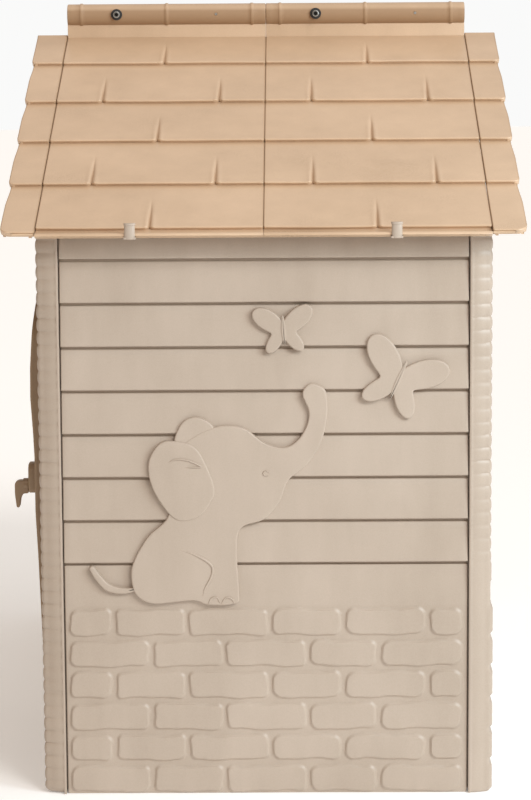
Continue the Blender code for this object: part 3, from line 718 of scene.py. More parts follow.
def face_patch(left, right, low, high, columns, extra=()):
    """Part of a gable wall's skin between two functions of height, as closed trays."""

    def push(points):
        """Takes edge points back to the skin's inner plane."""
        return np.column_stack([np.full(len(points), FACE_SKIN), points[:, 1:]])

    made = []
    for bottom, top in ((low, min(high, BAND_TOP)), (max(low, BAND_TOP), high)):
        if top - bottom < 0.002:
            continue
        if top <= BAND_TOP:
            rows = base_heights(bottom, top, 0.0021)
            share = np.linspace(0, 1, max(3, int(columns * 5)))
        else:
            rows, depths = plank_section(bottom, top, [z for z in extra if bottom < z < top])
            share = np.linspace(0, 1, max(3, columns))
        across = left(rows)[:, None] * (1 - share) + right(rows)[:, None] * share
        height = np.broadcast_to(rows[:, None], across.shape)
        if top <= BAND_TOP:
            depth = base_depth(across, height, FACADE_JOINTS, (0.004, 0.581))
            shade_and_dust = base_shade_and_dust(depth, height)
        else:
            depth = np.broadcast_to(depths[:, None], across.shape)
            # Painted shade: the colour is darkened in the deepest part of each plank's groove.
            shade_and_dust = soft_step((depth - 0.0055) / 0.0025)
        seam = edge_round(across - GAP, 0.0012)
        grid = np.stack([FACE_X - depth - seam - warp(across, height), across, height], axis=-1)
        made.append(tray(grid, push, shade_and_dust))
    return made


def moulding(outline, section):
    """A frame: a section of (offset outwards, depth) carried round a closed outline in (y, z)."""
    out = outward(outline)
    loops = [facing_x(outline + out * offset, depth) for offset, depth in section]
    return tube(np.stack(loops), True)


def cylinder(centre, radius, low, high, place, sides=24, bevel=0.0006):
    """A round bar or boss with bevelled ends."""
    return pillow(centre + radius * unit_circle(sides), low, high, bevel, place)


def ring(centre, radii, low, high, place, sides=28, bevel=0.0005):
    """A hollow barrel: a bevelled section between two radii, turned round a centre."""
    inner, outer = radii
    section = [(inner, low + bevel), (inner + bevel, low), (outer - bevel, low), (outer, low + bevel)]
    section += [(radius, low + high - level) for radius, level in section[::-1]]
    circle = unit_circle(sides)
    return tube(np.stack([place(centre + circle * radius, level) for radius, level in section]), True)


def hinge_eye(centre, radius, low, high):
    """A hinge eye standing off the wall: its barrel and the block that carries it."""
    x, y = centre
    half = radius * 0.85
    barrel = ring(centre, (EYE_BORE, radius), low, high, facing_z)
    return [barrel, bar((FACE_SKIN, y - half, low), (x - 0.004, y + half, high))]


def post_section():
    """The post's outline in (x, y), and how much of its ribs and of its bricks each point takes."""
    lip = [(0.3108, 0.600), (0.3104, 0.6400), (0.3106, 0.6442), (0.3120, 0.6450), (0.3138, 0.6450)]
    x = np.linspace(0.3150, 0.3360, 8)
    side = np.stack([x, POST_Y - 0.0005 - 0.0048 * ((x - 0.3140) / 0.022) ** 2], axis=1)
    turn = np.linspace(1.20, 0, 7)
    corner = np.stack([0.3370 + 0.008 * np.cos(turn), 0.6318 + 0.008 * np.sin(turn)], axis=1)
    y = np.linspace(0.6260, 0.5890, 6)
    face = np.stack([np.full(6, POST_X), y], axis=1)
    inner = [(0.3444, 0.5862), (0.3432, 0.5853), (0.3400, 0.5850), (0.3330, 0.5850), (0.3330, 0.600)]
    ribbed = np.r_[np.zeros(5), np.linspace(0.45, 0.85, 8), np.linspace(0.90, 1, 7), np.ones(6)]
    ribbed = np.r_[ribbed, 0.8, 0.4, 0, 0, 0]
    bricked = np.r_[np.zeros(14), np.linspace(0.15, 1, 6), np.ones(6), 1, 0.6, 0, 0, 0]
    return np.concatenate([lip, side, corner, face, inner]), ribbed, bricked


def rib_depth(height):
    """How far the post's face lies behind its ribs' tops: half ellipses with sharp valleys."""
    phase = 2 * ((height / RIB_PITCH) % 1) - 1
    return -RIB_RISE * (1 - np.sqrt(1 - 0.97 * phase**2))


def brick_ends(height):
    """The rear posts' profile under their ribs: a ledge over six brick ends."""
    brick = ((height - 0.002) / 0.0495) % 1
    bumps = 0.0040 * soft_step((0.5 - np.abs(brick - 0.44)) / 0.10 - 0.45) - 0.0010
    ledge = 0.0016 * soft_step((height - 0.330) / 0.003) * soft_step((0.362 - height) / 0.003)
    return np.where(height > 0.300, ledge - 0.0010, bumps)


def post(rear, foot_radius):
    """A corner post: its section carried up in fine steps, moved in or out by its relief."""
    section, ribbed, bricked = (part[::-1] for part in post_section())
    out = outward(section)
    heights = np.r_[0, 0.0006, 0.0015, np.arange(0.0030, POST_TOP, 0.0022), POST_TOP]
    share = soft_step((heights - 0.360) / 0.003) if rear else np.ones_like(heights)
    ribs = rib_depth(heights) * share
    faint = 0.12 * rib_depth(heights) * (1 - share)
    push = (ribs + faint)[:, None] * ribbed + (brick_ends(heights) * (1 - share))[:, None] * bricked
    moved = section + out * push[..., None]
    foot = edge_round(heights, foot_radius)[:, None]
    centre = np.array([0.325, 0.615])
    shrink = np.clip((moved - centre) / np.array([0.020, 0.030]), 0, 1)
    moved = moved - shrink * foot[..., None] * (ribbed > 0.3)[:, None]
    level = np.broadcast_to(heights[:, None, None], (*moved.shape[:2], 1))
    # Painted shade: darker in the ribs' valleys, and the front posts a little darker all over.
    painted_valley_shade = soft_step(-ribs / RIB_RISE - 0.40)[:, None] * ribbed * 0.6 + (0.0 if rear else 0.32)
    return tube(np.concatenate([moved, level], axis=2), groove=painted_valley_shade)


def wall_half(opening, frame_width, rear, eyes, bossed):
    """One half of a gable wall, built at +X and +Y: skin round an opening, frame, post and ribs."""
    left, right, sill, spring, crown = opening
    middle, grown = (left + right) / 2, 0.006
    width = arch_half_width(opening, grown)
    top = crown + grown
    arch_rows = spring + (top - spring) * np.sin(np.linspace(0, np.pi / 2, 14))
    kink = GABLE_APEX - ROOF_FALL * POST_INNER
    windowed = sill > BAND_TOP

    def seam(height):
        """The seam at the wall's middle."""
        return np.full_like(height, GAP)

    def near(height):
        """The opening's side towards the seam."""
        return middle - width(height)

    def far(height):
        """The opening's side towards the post."""
        return middle + width(height)

    if windowed:
        parts = face_patch(seam, gable_edge, 0, BAND_TOP, 44)
        parts += face_patch(seam, near, BAND_TOP, top, 12, arch_rows)
        parts += face_patch(far, gable_edge, BAND_TOP, top, 12, arch_rows)
        parts += face_patch(near, far, BAND_TOP, sill - grown, 12)
    else:
        parts = face_patch(seam, near, 0, top, 12, arch_rows)
        parts += face_patch(far, gable_edge, 0, top, 3, arch_rows)
        parts += face_patch(near, far, 0, sill - grown, 30)
    parts += face_patch(seam, gable_edge, top, GABLE_APEX - 0.004, 26, [kink])
    face = FACE_X + 0.0028
    section = [(0, FACE_BACK), (0, face - 0.001), (0.0004, face - 0.0003), (0.0013, face)]
    section += [(frame_width - 0.0013, face), (frame_width - 0.0004, face - 0.0003)]
    section += [(frame_width, face - 0.001), (frame_width, FACE_SKIN)]
    section += [(RIB, FACE_SKIN), (RIB, FACE_BACK)]
    parts.append(moulding(arch(*opening, steps=32), section))
    parts.append(post(rear, 0.003 if rear else 0.013))
    inner = FACE_SKIN + 0.0005
    parts.append(bar((FACE_BACK, GAP, 0.0005), (inner, GAP + RIB, GABLE_APEX - 0.004)))
    parts.append(bar((FACE_BACK, POST_INNER - RIB, 0.0005), (inner, POST_INNER + 0.0002, 0.895)))
    foot_end = POST_INNER if windowed else left
    parts.append(bar((FACE_BACK, GAP, CLEAR), (inner, foot_end, CLEAR + RIB)))
    slope = [(GAP, GABLE_APEX - RIB - 0.0005), (GAP, GABLE_APEX - 0.0005)]
    slope += [(POST_INNER, GABLE_FOOT - 0.0005), (POST_INNER, GABLE_FOOT - RIB - 0.0005)]
    parts.append(pillow(slope, FACE_BACK, FACE_X - 0.003, 0.0005, facing_x))
    parts.append(bar((FACE_BACK, GAP, top + 0.010), (inner, POST_INNER, top + 0.010 + RIB)))
    if windowed:
        back, thin = FACE_BACK + CLEAR, RIB - 2 * CLEAR
        parts.append(bar((back, GAP, sill - RIB + CLEAR), (inner, POST_INNER, sill - CLEAR)))
        for y in (left - RIB + CLEAR, right + CLEAR):
            parts.append(bar((back, y, 0.0005), (inner, y + thin, top + 0.010)))
    parts.append(bar((0.265, 0.6082, 0.004), (0.340, 0.6125, 0.860)))
    parts.append(bar((0.3088, 0.6200, 0.004), (0.3400, 0.6300, 0.860)))
    for centre, radius, low, high in eyes:
        parts += hinge_eye(np.array(centre), radius, low, high)
    if bossed:
        parts.append(bar((0.3140, -0.0015, 0.0100), (0.3270, 0.0020, GABLE_APEX - 0.010)))
        for z in SEAM_SCREWS:
            parts.append(bar((0.317, GAP, z - 0.007), (inner, 0.016, z + 0.007)))
    return parts


HINGE = (0.352, 0.128)
HINGE_FEET = (0.150, 0.600)
SHUTTER_AXIS_X = 0.350
SHUTTER_AXES = (0.192, 0.448)
SHUTTER_EYES = (0.450, 0.640)
door_levels = [foot + rise for foot in HINGE_FEET for rise in (0, 0.028)]
door_eyes = [(HINGE, 0.007, z, z + 0.012) for z in door_levels]
window_eyes = [
    ((SHUTTER_AXIS_X, y), 0.006, z, z + 0.012) for y in SHUTTER_AXES for z in SHUTTER_EYES
]
for node, opening, frame_width, rear, eyes, bossed, turn in (
    ("front_wall_door", DOORWAY, 0.0092, False, door_eyes, False, (-1, -1, 1)),
    ("front_wall_window", WINDOW, 0.018, False, window_eyes, True, (-1, 1, 1)),
    ("rear_wall_right", WINDOW, 0.018, True, window_eyes, False, (1, -1, 1)),
    ("rear_wall_left", WINDOW, 0.018, True, window_eyes, True, (1, 1, 1)),
):
    parts = wall_half(opening, frame_width, rear, eyes, bossed)
    piece(f"{node}_moulding", parts, beige, "house", "wall_plastic", [node], turn)

# ---- Wall screws -------------------------------------------------------------------------
# Zinc plated screws hold the corners and the middle seams from inside the house, and one more
# holds each verge trim. Their heads show only from inside.


def plated_steel():
    """Dull zinc plating with a milky bloom, and painted shade making it nearly black down in the
    socket.
    """
    finish = Finish("zinc_plated_steel")
    place = finish.add("TexCoord", output="Object")
    bloom = finish.noise(place, 90.0, 3.0)
    fine = finish.noise(place, 1800.0, 2.0)
    paint = finish.mix(bloom, (0.40, 0.39, 0.37, 1), (0.60, 0.58, 0.54, 1))
    hollow = finish.add("Attribute", {"attribute_name": "groove"}, output="Fac")
    # Painted shade: the groove attribute turns the socket nearly black.
    paint = finish.mix(hollow, paint, (0.03, 0.028, 0.025, 1))
    bump = finish.add("Bump", None, {"Strength": 0.15, "Distance": 0.0002, "Height": fine})
    rough = (bloom * 0.22 + fine * 0.08 + 0.16).clamped()
    finish.shade(Base_Color=paint, Roughness=rough, Metallic=1.0, Normal=bump)
    return finish.material


steel = plated_steel()
APEX_Z = 1.160
VERGE_SCREW = np.array([0.350, APEX_Z - ROOF_FALL * 0.350 - 0.036])


def screw(centre, head_from, tip, place, radius=0.002, head=0.0045, head_height=0.0035, sides=36):
    """A screw turned round its axis: a rounded head with a hexagon socket, and a shank to its tip."""
    way = 1 if tip > head_from else -1
    top = head_from - way * head_height
    turn = np.linspace(0, 2 * np.pi, sides, endpoint=False)
    lean = (turn + math.pi / 6) % (math.pi / 3) - math.pi / 6
    circle = unit_circle(sides)
    hexagon = circle * (math.cos(math.pi / 6) / np.cos(lean))[:, None]
    bite = 0.58 * head
    socket = [(bite * 0.96, top + way * 0.6 * head_height), (bite, top + way * 0.0004)]
    socket += [(bite + 0.0003, top)]
    outside = [(head - 0.0009, top), (head - 0.0003, top + way * 0.0002), (head, top + way * 0.0008)]
    outside += [(head, head_from - way * 0.0002), (head - 0.0002, head_from), (radius, head_from)]
    outside += [(radius, tip - way * 0.001), (radius - 0.0005, tip)]
    loops = [place(centre + hexagon * size, level) for size, level in socket]
    loops += [place(centre + circle * size, level) for size, level in outside]
    # Painted shade on the socket's loops.
    shaded = np.array([1, 1, 0.6, 0.25] + [0] * 7)[:, None] * np.ones(sides)
    return tube(np.stack(loops), groove=shaded)


for x_side, end in ((-1, "front"), (1, "rear")):
    for y_side, side in ((-1, "right"), (1, "left")):
        for z, level in ((0.150, "low"), (0.700, "high")):
            node = f"corner_screw_{end}_{side}_{level}"
            part = screw(np.array([0.287, z]), 0.6079, 0.6275, facing_y)
            piece(f"{node}_turned", [part], steel, "house", "steel", [node], (x_side, y_side, 1))
        node = f"verge_screw_{end}_{side}"
        part = screw(VERGE_SCREW, 0.3372, 0.354, facing_x)
        piece(f"{node}_turned", [part], steel, "house", "steel", [node], (x_side, y_side, 1))
    for z, level in zip(SEAM_SCREWS, ("low", "high")):
        node = f"centre_screw_{end}_{level}"
        part = screw(np.array([0.324, z]), -0.0046, 0.014, facing_y)
        piece(f"{node}_turned", [part], steel, "house", "steel", [node], (x_side, 1, 1))

# ---- Roof panels -------------------------------------------------------------------------
# Four warm tan mouldings, two a side, each with five stepped courses of shingles above and ribs
# below. Their half rolls meet over the ridge. The right panels are the left ones turned round.

tan = moulded_plastic("tan_plastic", display(204, 175, 146), 0.30, 1.2, 0.45, 0.5)

SLOPE_COS = 1 / math.hypot(1, ROOF_FALL)
SLOPE_SIN = ROOF_FALL * SLOPE_COS
COURSE_ENDS = (0, 0.1300, 0.2830, 0.4320, 0.5850, 0.7340)
COURSE_STEP = 0.0060
EAVE_Y = 0.700
EAVE_BOTTOM = 0.866
ROOF_SKIN = 0.0100
ROOF_DEPTH = 0.020
PANEL_X = 0.340
PANEL_SPAN = (-PANEL_X + 0.00015, -0.00015)
JOINTS = ((-0.170,), (-0.265, -0.075))


def on_slope(across, down, depth):
    """Points at distances down the slope and behind the butts' plane."""
    y = down * SLOPE_COS - depth * SLOPE_SIN
    z = APEX_Z - down * SLOPE_SIN - depth * SLOPE_COS
    return np.stack(np.broadcast_arrays(across, y, z), axis=-1)


def roof_height(y, below=0.0):
    """Height of the butts' plane at a distance from the ridge, less a depth straight down."""
    return APEX_Z - ROOF_FALL * y - below


def course(number, low, high, joints, corners, count, end=None, scallop=0.0):
    """One course of shingles, from under the one above to its butt, split by grooves at its joints.

    A point's depth shrinks evenly down to the butt. Each groove deepens down the course, and the
    butt's line curves up to it by a quarter circle on either side. A scallop draws the outer edge
    in at the top of the course and lets it out again down its first half.
    """
    start, end = COURSE_ENDS[number], end or COURSE_ENDS[number + 1]
    near = np.array([0, 0.0004, 0.0008, 0.0013, 0.002, 0.003, 0.0045, 0.006, 0.008, 0.010])
    columns = [np.linspace(low, high, count)]
    columns += [joint + side * near for joint in joints for side in (-1, 1)]
    columns += [low + near[:5], high - near[:5]]
    across = np.unique(np.round(np.clip(np.concatenate(columns), low, high), 6))
    reach = np.full_like(across, 1.0)
    for joint in joints:
        reach = np.minimum(reach, np.abs(across - joint))
    sides = np.minimum(across - low, high - across)
    curve = edge_round(reach, 0.0075) + edge_round(sides, 0.0022)
    for place, radius in corners:
        curve = curve + edge_round(np.abs(across - place), radius)
    butt = end - curve + 0.0004 * np.sin(across * 31 + number)
    top = 0.0 if number == 0 else start - 0.006
    share = np.r_[np.linspace(0, 0.3, 4), np.linspace(0.36, 0.97, 14), 1]
    down = top + (butt - 0.0024 - top) * share[:, None]
    last = butt - np.array([0.0016, 0.0009, 0.0004, 0.0001, 0])[:, None]
    down = np.concatenate([down, last])
    depth = COURSE_STEP * (1 - np.clip((down - start) / (end - start), 0, 1))
    depth = depth + edge_round(butt - down, 0.0022) * 0.9
    deepened = soft_step((down - start - 0.28 * (end - start)) / (0.72 * (end - start)))
    groove = deepened * np.exp(-((reach / 0.0019) ** 2))
    lipped = deepened * np.exp(-(((reach - 0.006) / 0.0028) ** 2))
    depth = depth + 0.0036 * groove - 0.0006 * lipped + edge_round(sides, 0.0011)
    depth = depth + 0.0003 * np.sin(across * 19 + number) * np.sin(down * 37)
    # Painted shade: darker in the joint grooves, a painted shadow under each butt on the course below,
    # painted shade along the side edges where panels meet, and a painted reflection of the ridge roll
    # at the top of the first course.
    shade_and_dust = 0.9 * groove + 1.1 * soft_step((0.006 - (down - start)) / 0.006) * (number > 0)
    shade_and_dust = shade_and_dust + 1.2 * soft_step((0.0022 - sides) / 0.0012) + 0.45 * soft_step((0.075 - down) / 0.06)
    drawn = scallop * (1 - soft_step((down - start) / (0.45 * (end - start)))) * (number > 0)
    front = on_slope(across - drawn * (across - low) / (high - low), down, depth)

    def under(points):
        """Takes edge points back to the skin's under face, and the butt's also up the slope."""
        level = (APEX_Z - points[:, 2]) * SLOPE_COS - points[:, 1] * SLOPE_SIN
        run = points[:, 1] * SLOPE_COS + (APEX_Z - points[:, 2]) * SLOPE_SIN
        leaning = 0.0045 * soft_step((run - start - 0.02) / 0.05)
        moved = points + (ROOF_SKIN - level)[:, None] * np.array([0, -SLOPE_SIN, -SLOPE_COS])
        moved = moved - leaning[:, None] * np.array([0, SLOPE_COS, -SLOPE_SIN])
        return np.column_stack([moved[:, 0], np.maximum(moved[:, 1], GAP), moved[:, 2]])

    front[..., 1] = np.maximum(front[..., 1], GAP)
    return tray(front, under, shade_and_dust)


def eave_lip(low, high, back=0.0, raised=0.0):
    """The plain lip below the last course, rounded over to the eave's level underside."""
    outline = [(y, roof_height(y, below)) for y, below in ((0.655, 0.0085), (0.655, ROOF_DEPTH))]
    outline += [(0.6690, EAVE_BOTTOM), (0.6880, EAVE_BOTTOM), (0.6940, EAVE_BOTTOM + 0.0030)]
    outline += [(0.6985, EAVE_BOTTOM + 0.0035), (EAVE_Y, EAVE_BOTTOM + 0.0045)]
    top = [(EAVE_Y, 0.0014), (0.6988, 0.0004), (0.6955, 0.0006), (0.6925, 0.0030)]
    top += [(0.6860, 0.0058), (0.6700, 0.0066)]
    outline += [(y, roof_height(y, below)) for y, below in top]
    outline = [(y - back * (y > 0.66), z + raised * (z < EAVE_BOTTOM + 0.005)) for y, z in outline]
    return pillow(outline, low, high, 0.0007, facing_x)


def rafter(low, high):
    """A rib down the slope under the skin."""
    corners = ((GAP, 0.0075), (0.664, 0.0075), (0.664, ROOF_DEPTH), (GAP, ROOF_DEPTH))
    outline = [(y, roof_height(y, below)) for y, below in corners]
    return pillow(outline, low, high, 0.0006, facing_x)


ROLL_RADIUS = 0.0187
ROLL_Z = 1.188
ROLL_RINGS = (-0.3160, -0.1700, -0.0240)
RIDGE_SCREW = np.array([-0.085, 1.189])


def half_roll():
    """Half the ridge roll: a half circle carried along X, swelling over its three raised rings."""
    low, high = PANEL_SPAN
    beside = np.array([-0.0034, -0.0026, -0.0016, 0, 0.0016, 0.0026, 0.0034])
    rings = np.array(ROLL_RINGS)[:, None] + beside
    ends = np.array([0, 0.0003, 0.0008, 0.0016])
    along = np.r_[low + ends, rings.ravel(), np.linspace(-0.33, -0.01, 30), high - ends]
    along = np.unique(along)
    swell = np.abs(along[:, None] - np.array(ROLL_RINGS)).min(axis=1)
    sides = np.minimum(along - low, high - along)
    radius = ROLL_RADIUS + 0.0013 * soft_step((0.0036 - swell) / 0.0024) - edge_round(sides, 0.0016)
    turn = np.linspace(-np.pi / 2, np.pi / 2, 25)
    y = GAP + radius[:, None] * np.cos(turn)
    z = ROLL_Z + radius[:, None] * np.sin(turn)
    x = np.broadcast_to(along[:, None], y.shape)
    # Painted shade: darker in the rings' grooves, much darker over the roll's lower half, and a little
    # darker all over.
    groove = 0.6 * soft_step((0.0052 - swell) / 0.001) * soft_step((swell - 0.0030) / 0.001)
    painted_shade = 2.4 * soft_step((turn + 1.6) / 0.5) * soft_step((0.75 - turn) / 0.7)
    return tube(np.stack([x, y, z], axis=-1), groove=groove[:, None] + painted_shade + 0.6)


def panel_parts():
    """The left front panel, built at -X and +Y."""
    low, high = PANEL_SPAN
    made = [course(number, low, high, JOINTS[number % 2], (), 60) for number in range(5)]
    made.append(eave_lip(low, high))
    made += [rafter(x, x + RIB) for x in np.linspace(low, high - RIB, 4)]
    web = [(GAP, roof_height(0, 0.0105)), (0.0095, roof_height(0, 0.0105))]
    web += [(0.0090, ROLL_Z - 0.0150), (GAP, ROLL_Z - 0.0150)]
    made.append(pillow(web, low, high, 0.0006, facing_x))
    made.append(half_roll())
    made.append(cylinder(RIDGE_SCREW, 0.0095, 0.010, 0.0203, facing_y, 36, 0.0008))
    return made


ROOF_PLACES = (
    ("left_front", (1, 1), 0.0),
    ("left_rear", (1, 1), PANEL_X),
    ("right_front", (-1, -1), PANEL_X),
    ("right_rear", (-1, -1), 0.0),
)


def shifted(parts, x):
    """The parts moved along X."""
    return [(part[0] + (x, 0, 0), *part[1:]) for part in parts]


tan_panel = panel_parts()
for place, turn, x in ROOF_PLACES:
    node = f"roof_panel_{place}"
    parts = shifted(tan_panel, x)
    piece(f"{node}_moulding", parts, tan, "house", "roof_plastic", [node], (*turn, 1))

# ---- Verge trims -------------------------------------------------------------------------
# A tan channel down each gable edge carries the shingles on past the wall and hangs down as a
# fascia. A flange inside it is screwed to the gable.

VERGE_IN = 0.3407
VERGE_OUT = 0.3922


def fascia_outline(top_depth, inset, raised=0.0):
    """Outline in (y, z) of the trim's upright plate, stepped along its top like the courses."""
    ends = np.array(COURSE_ENDS)
    starts = np.repeat(ends[1:-1], 2)
    down = np.r_[0, starts, ends[-1]]
    depth = np.tile([COURSE_STEP, 0], 5) + top_depth
    y = np.maximum(down * SLOPE_COS - depth * SLOPE_SIN, GAP)
    top = np.stack([y, APEX_Z - down * SLOPE_SIN - depth * SLOPE_COS], axis=1)
    level = EAVE_BOTTOM + raised
    turn = (APEX_Z - 0.042 - level) / ROOF_FALL
    foot = [(EAVE_Y - 0.0006 - inset, level + 0.0004), (EAVE_Y - 0.0020 - inset, level)]
    foot += [(turn, level), (GAP, roof_height(0, 0.042))]
    return np.concatenate([top, [(EAVE_Y - inset, roof_height(EAVE_Y, 0.0048))], foot])


def verge_parts():
    """A trim at +X and +Y."""
    span = (VERGE_IN, VERGE_OUT)
    corners = ((VERGE_OUT, 0.0075),)
    made = [course(number, *span, (), corners, 14, scallop=0.0028) for number in range(4)]
    corners = ((VERGE_OUT, 0.0150),)
    made.append(course(4, *span, (), corners, 18, end=0.7478, scallop=0.0036))
    made.append(eave_lip(VERGE_IN, VERGE_OUT - 0.0180, 0.0060, 0.0030))
    made.append(pillow(fascia_outline(0.0030, 0.018, 0.0045), 0.3832, 0.3870, 0.0008, facing_x))
    made.append(pillow(fascia_outline(0.0080, 0.018), 0.3455, 0.3495, 0.0006, facing_x))
    made.append(cylinder(VERGE_SCREW, 0.0055, 0.3413, 0.3500, facing_x))
    return made


verge = verge_parts()
for x_side, end in ((-1, "front"), (1, "rear")):
    for y_side, side in ((-1, "right"), (1, "left")):
        node = f"verge_trim_{end}_{side}"
        piece(f"{node}_moulding", verge, tan, "house", "roof_plastic", [node], (x_side, y_side, 1))

# ---- Ridge screws ------------------------------------------------------------------------
# One socket screw in each panel draws the two half rolls together. A black rubber washer lies
# under its head, and its tip comes out flush on the far side.


def black_rubber():
    """Dull black rubber with a dusty bloom."""
    finish = Finish("black_rubber")
    place = finish.add("TexCoord", output="Object")
    bloom = finish.noise(place, 260.0, 3.0)
    paint = finish.mix(bloom, (0.010, 0.010, 0.010, 1), (0.035, 0.033, 0.031, 1))
    bump = finish.add("Bump", None, {"Strength": 0.2, "Distance": 0.0002, "Height": bloom})
    finish.shade(Base_Color=paint, Roughness=(bloom * 0.2 + 0.5).clamped(), Normal=bump)
    return finish.material


rubber = black_rubber()
washer = ring(RIDGE_SCREW, (0.0029, 0.0096), 0.0206, 0.0226, facing_y, 36, 0.0006)
ridge_screw = screw(RIDGE_SCREW, 0.0228, -0.0199, facing_y, 0.0025, 0.0056, 0.0050)
for place, turn, x in ROOF_PLACES:
    for node, part, material, slot in (
        (f"ridge_washer_{place}", washer, rubber, "rubber"),
        (f"ridge_screw_{place}", ridge_screw, steel, "steel"),
    ):
        piece(f"{node}_turned", shifted([part], x), material, "house", slot, [node], (*turn, 1))

# ---- Eave clips --------------------------------------------------------------------------
# A beige strip hooks over the head of the side wall, runs out under the eave and stands up in
# front of it as a half-round tab with a small lip on top.


def clip_parts():
    """A clip at -X and +Y."""
    x = -0.198
    half = 0.009
    strip = [(0.6097, 0.8453), (0.6127, 0.8453), (0.6127, 0.8653)]
    strip += [(0.7040, 0.8653), (0.7040, 0.8683), (0.6097, 0.8683)]
    made = [pillow(strip, x - half, x + half, 0.0006, facing_x)]
    turn = np.linspace(0, np.pi, 17)
    for low, high, grown in ((0.8653, 0.8862, 0.0), (0.8857, 0.8895, 0.0009)):
        wide, out = half - 0.001 + grown, 0.0047 + grown
        tab = np.stack([x + wide * np.cos(turn), 0.7004 + out * np.sin(turn)], axis=1)
        made.append(pillow(tab, low, high, 0.0008, facing_z))
    return made


clip = clip_parts()
for y_side, side in ((-1, "right"), (1, "left")):
    for x_side, end in ((1, "front"), (-1, "rear")):
        node = f"eave_clip_{side}_{end}"
        piece(f"{node}_moulding", clip, beige, "house", "wall_plastic", [node], (x_side, y_side, 1))

# ---- Door --------------------------------------------------------------------------------
# A brown arched leaf, crowned outwards, with two framed panels and a ribbed back. Its barrels
# hang between the wall's eyes on two plastic pins, dropped in from above.

brown = moulded_plastic("brown_plastic", display(146, 121, 93), 0.40, 0.7, 0.45, 0.55)

LEAF_BACK = 0.337
LEAF_GAP = 0.003
LEAF_SKIN = 0.0035
HANDLE = np.array([0.525, 0.466])
CROWN = (  # height, and how far the leaf's face stands in front of the posts there
    (0.045, 0.002), (0.200, 0.0045), (0.309, 0.008), (0.365, 0.0099), (0.430, 0.0128), (0.517, 0.0128),
    (0.555, 0.0143), (0.609, 0.0175), (0.655, 0.017), (0.701, 0.014), (0.754, 0.009), (0.797, 0.005),
)


def crown(height):
    """The leaf's face, which stands out furthest above its handle."""
    return POST_X + np.interp(height, *zip(*CROWN))


def leaf_parts():
    """The door leaf at +X and +Y: crowned shell, perimeter rim, ribs, spindle tube and barrels."""
    left, right, sill, spring, top = DOORWAY
    middle = (left + right) / 2
    half, low, high = (right - left) / 2 - LEAF_GAP, sill + LEAF_GAP + 0.002, top - LEAF_GAP
    rows = np.r_[low, low + 0.0006, low + 0.0015, np.arange(low + 0.004, spring, 0.0045)]
    rows = np.r_[rows, spring + (high - spring) * np.sin(np.linspace(0, np.pi / 2, 44))[:-1]]
    rows = np.r_[rows, high - 0.0001]
    width = half * np.sqrt(1 - np.clip((rows - spring) / (high - spring), 0, 1) ** 2)
    share = np.r_[-1, -0.9985, -0.995, np.linspace(-0.988, 0.988, 110), 0.995, 0.9985, 1]
    across = middle + np.maximum(width, 0.004)[:, None] * share
    height = np.broadcast_to(rows[:, None], across.shape)

    def inside(low_z, high_z, margin, bend):
        """Distance inside a panel with straight sides and a top that bows up."""
        head = high_z + bend * (1 - ((across - middle) / half) ** 2)
        sides = half - margin - np.abs(across - middle)
        return np.minimum(np.minimum(height - low_z, head - height), sides)

    sunk = np.zeros_like(across)
    for low_z, high_z, bend in ((0.115, 0.385, 0.0), (0.545, 0.640, 0.085)):
        distance = inside(low_z, high_z, 0.060, bend)
        field = soft_step(distance / 0.005) - 0.75 * soft_step((distance - 0.016) / 0.010)
        sunk = np.maximum(sunk, field)
    boards = np.exp(-(((across - middle + 0.0365) % 0.073 - 0.0365) / 0.0022) ** 2)
    boards = boards * soft_step((inside(0.060, 0.770, 0.060, 0.0) - 0.002) / 0.004)
    plain = soft_step((sunk - 0.01) / 0.05)
    rim_drop = edge_round(half - np.abs(across - middle), 0.0018) + edge_round(height - low, 0.0018)
    depth = 0.0030 * sunk + 0.0014 * boards * plain + rim_drop * 0.8
    level = soft_step(1.4 - np.hypot((across - HANDLE[0]) / 0.030, (height - 0.477) / 0.040))
    depth = depth * (1 - level)
    front = np.stack([crown(height) - depth, across, height], axis=-1)
    back = front - (LEAF_SKIN, 0, 0)
    # Painted shade: darker in the board lines and round the sunk panels' edges.
    made = [slab(front, back, 0.7 * boards * plain + 0.4 * (sunk > 0.3) * (sunk < 0.9))]
    line = arch(*DOORWAY, LEAF_GAP + CLEAR, 60)
    line[:2, 1] = low + CLEAR
    up = np.linspace(low + CLEAR, spring, 60)[1:-1]
    right_side = np.column_stack([np.full(len(up), line[1, 0]), up])
    left_side = np.column_stack([np.full(len(up), line[0, 0]), up[::-1]])
    line = np.concatenate([line[:2], right_side, line[2:], left_side])
    inner = line - outward(line) * RIB
    edge, back = crown(line[:, 1]) - 0.0022, np.full(len(line), LEAF_BACK)
    loops = [(edge, line), (back, line), (back, inner), (edge, inner)]
    made.append(tube(np.stack([np.column_stack(loop) for loop in loops]), True))
    for z in (0.118, 0.278, 0.418, 0.518, 0.658):
        face = crown(z + RIB / 2) - 0.0060
        made.append(bar((LEAF_BACK + 0.0005, left + 0.005, z), (face, right - 0.005, z + RIB)))
    for y in (0.243, 0.353, 0.463):
        made.append(bar((LEAF_BACK + 0.0005, y, low), (0.3435, y + RIB, 0.760)))
    made.append(ring(HANDLE, (0.0064, 0.011), LEAF_BACK, 0.3560, facing_x))
    for foot in HINGE_FEET:
        span = (foot + 0.0125, foot + 0.0275)
        made.append(ring(HINGE, (EYE_BORE, 0.007), *span, facing_z))
        arm = [(0.3475, 0.1345), (0.3540, 0.1335), (0.3540, 0.1380)]
        arm += [(0.3500, 0.1420), (0.3420, 0.1420), (0.3420, 0.1385)]
        made.append(pillow(arm, *span, 0.0006, facing_z))
    return made


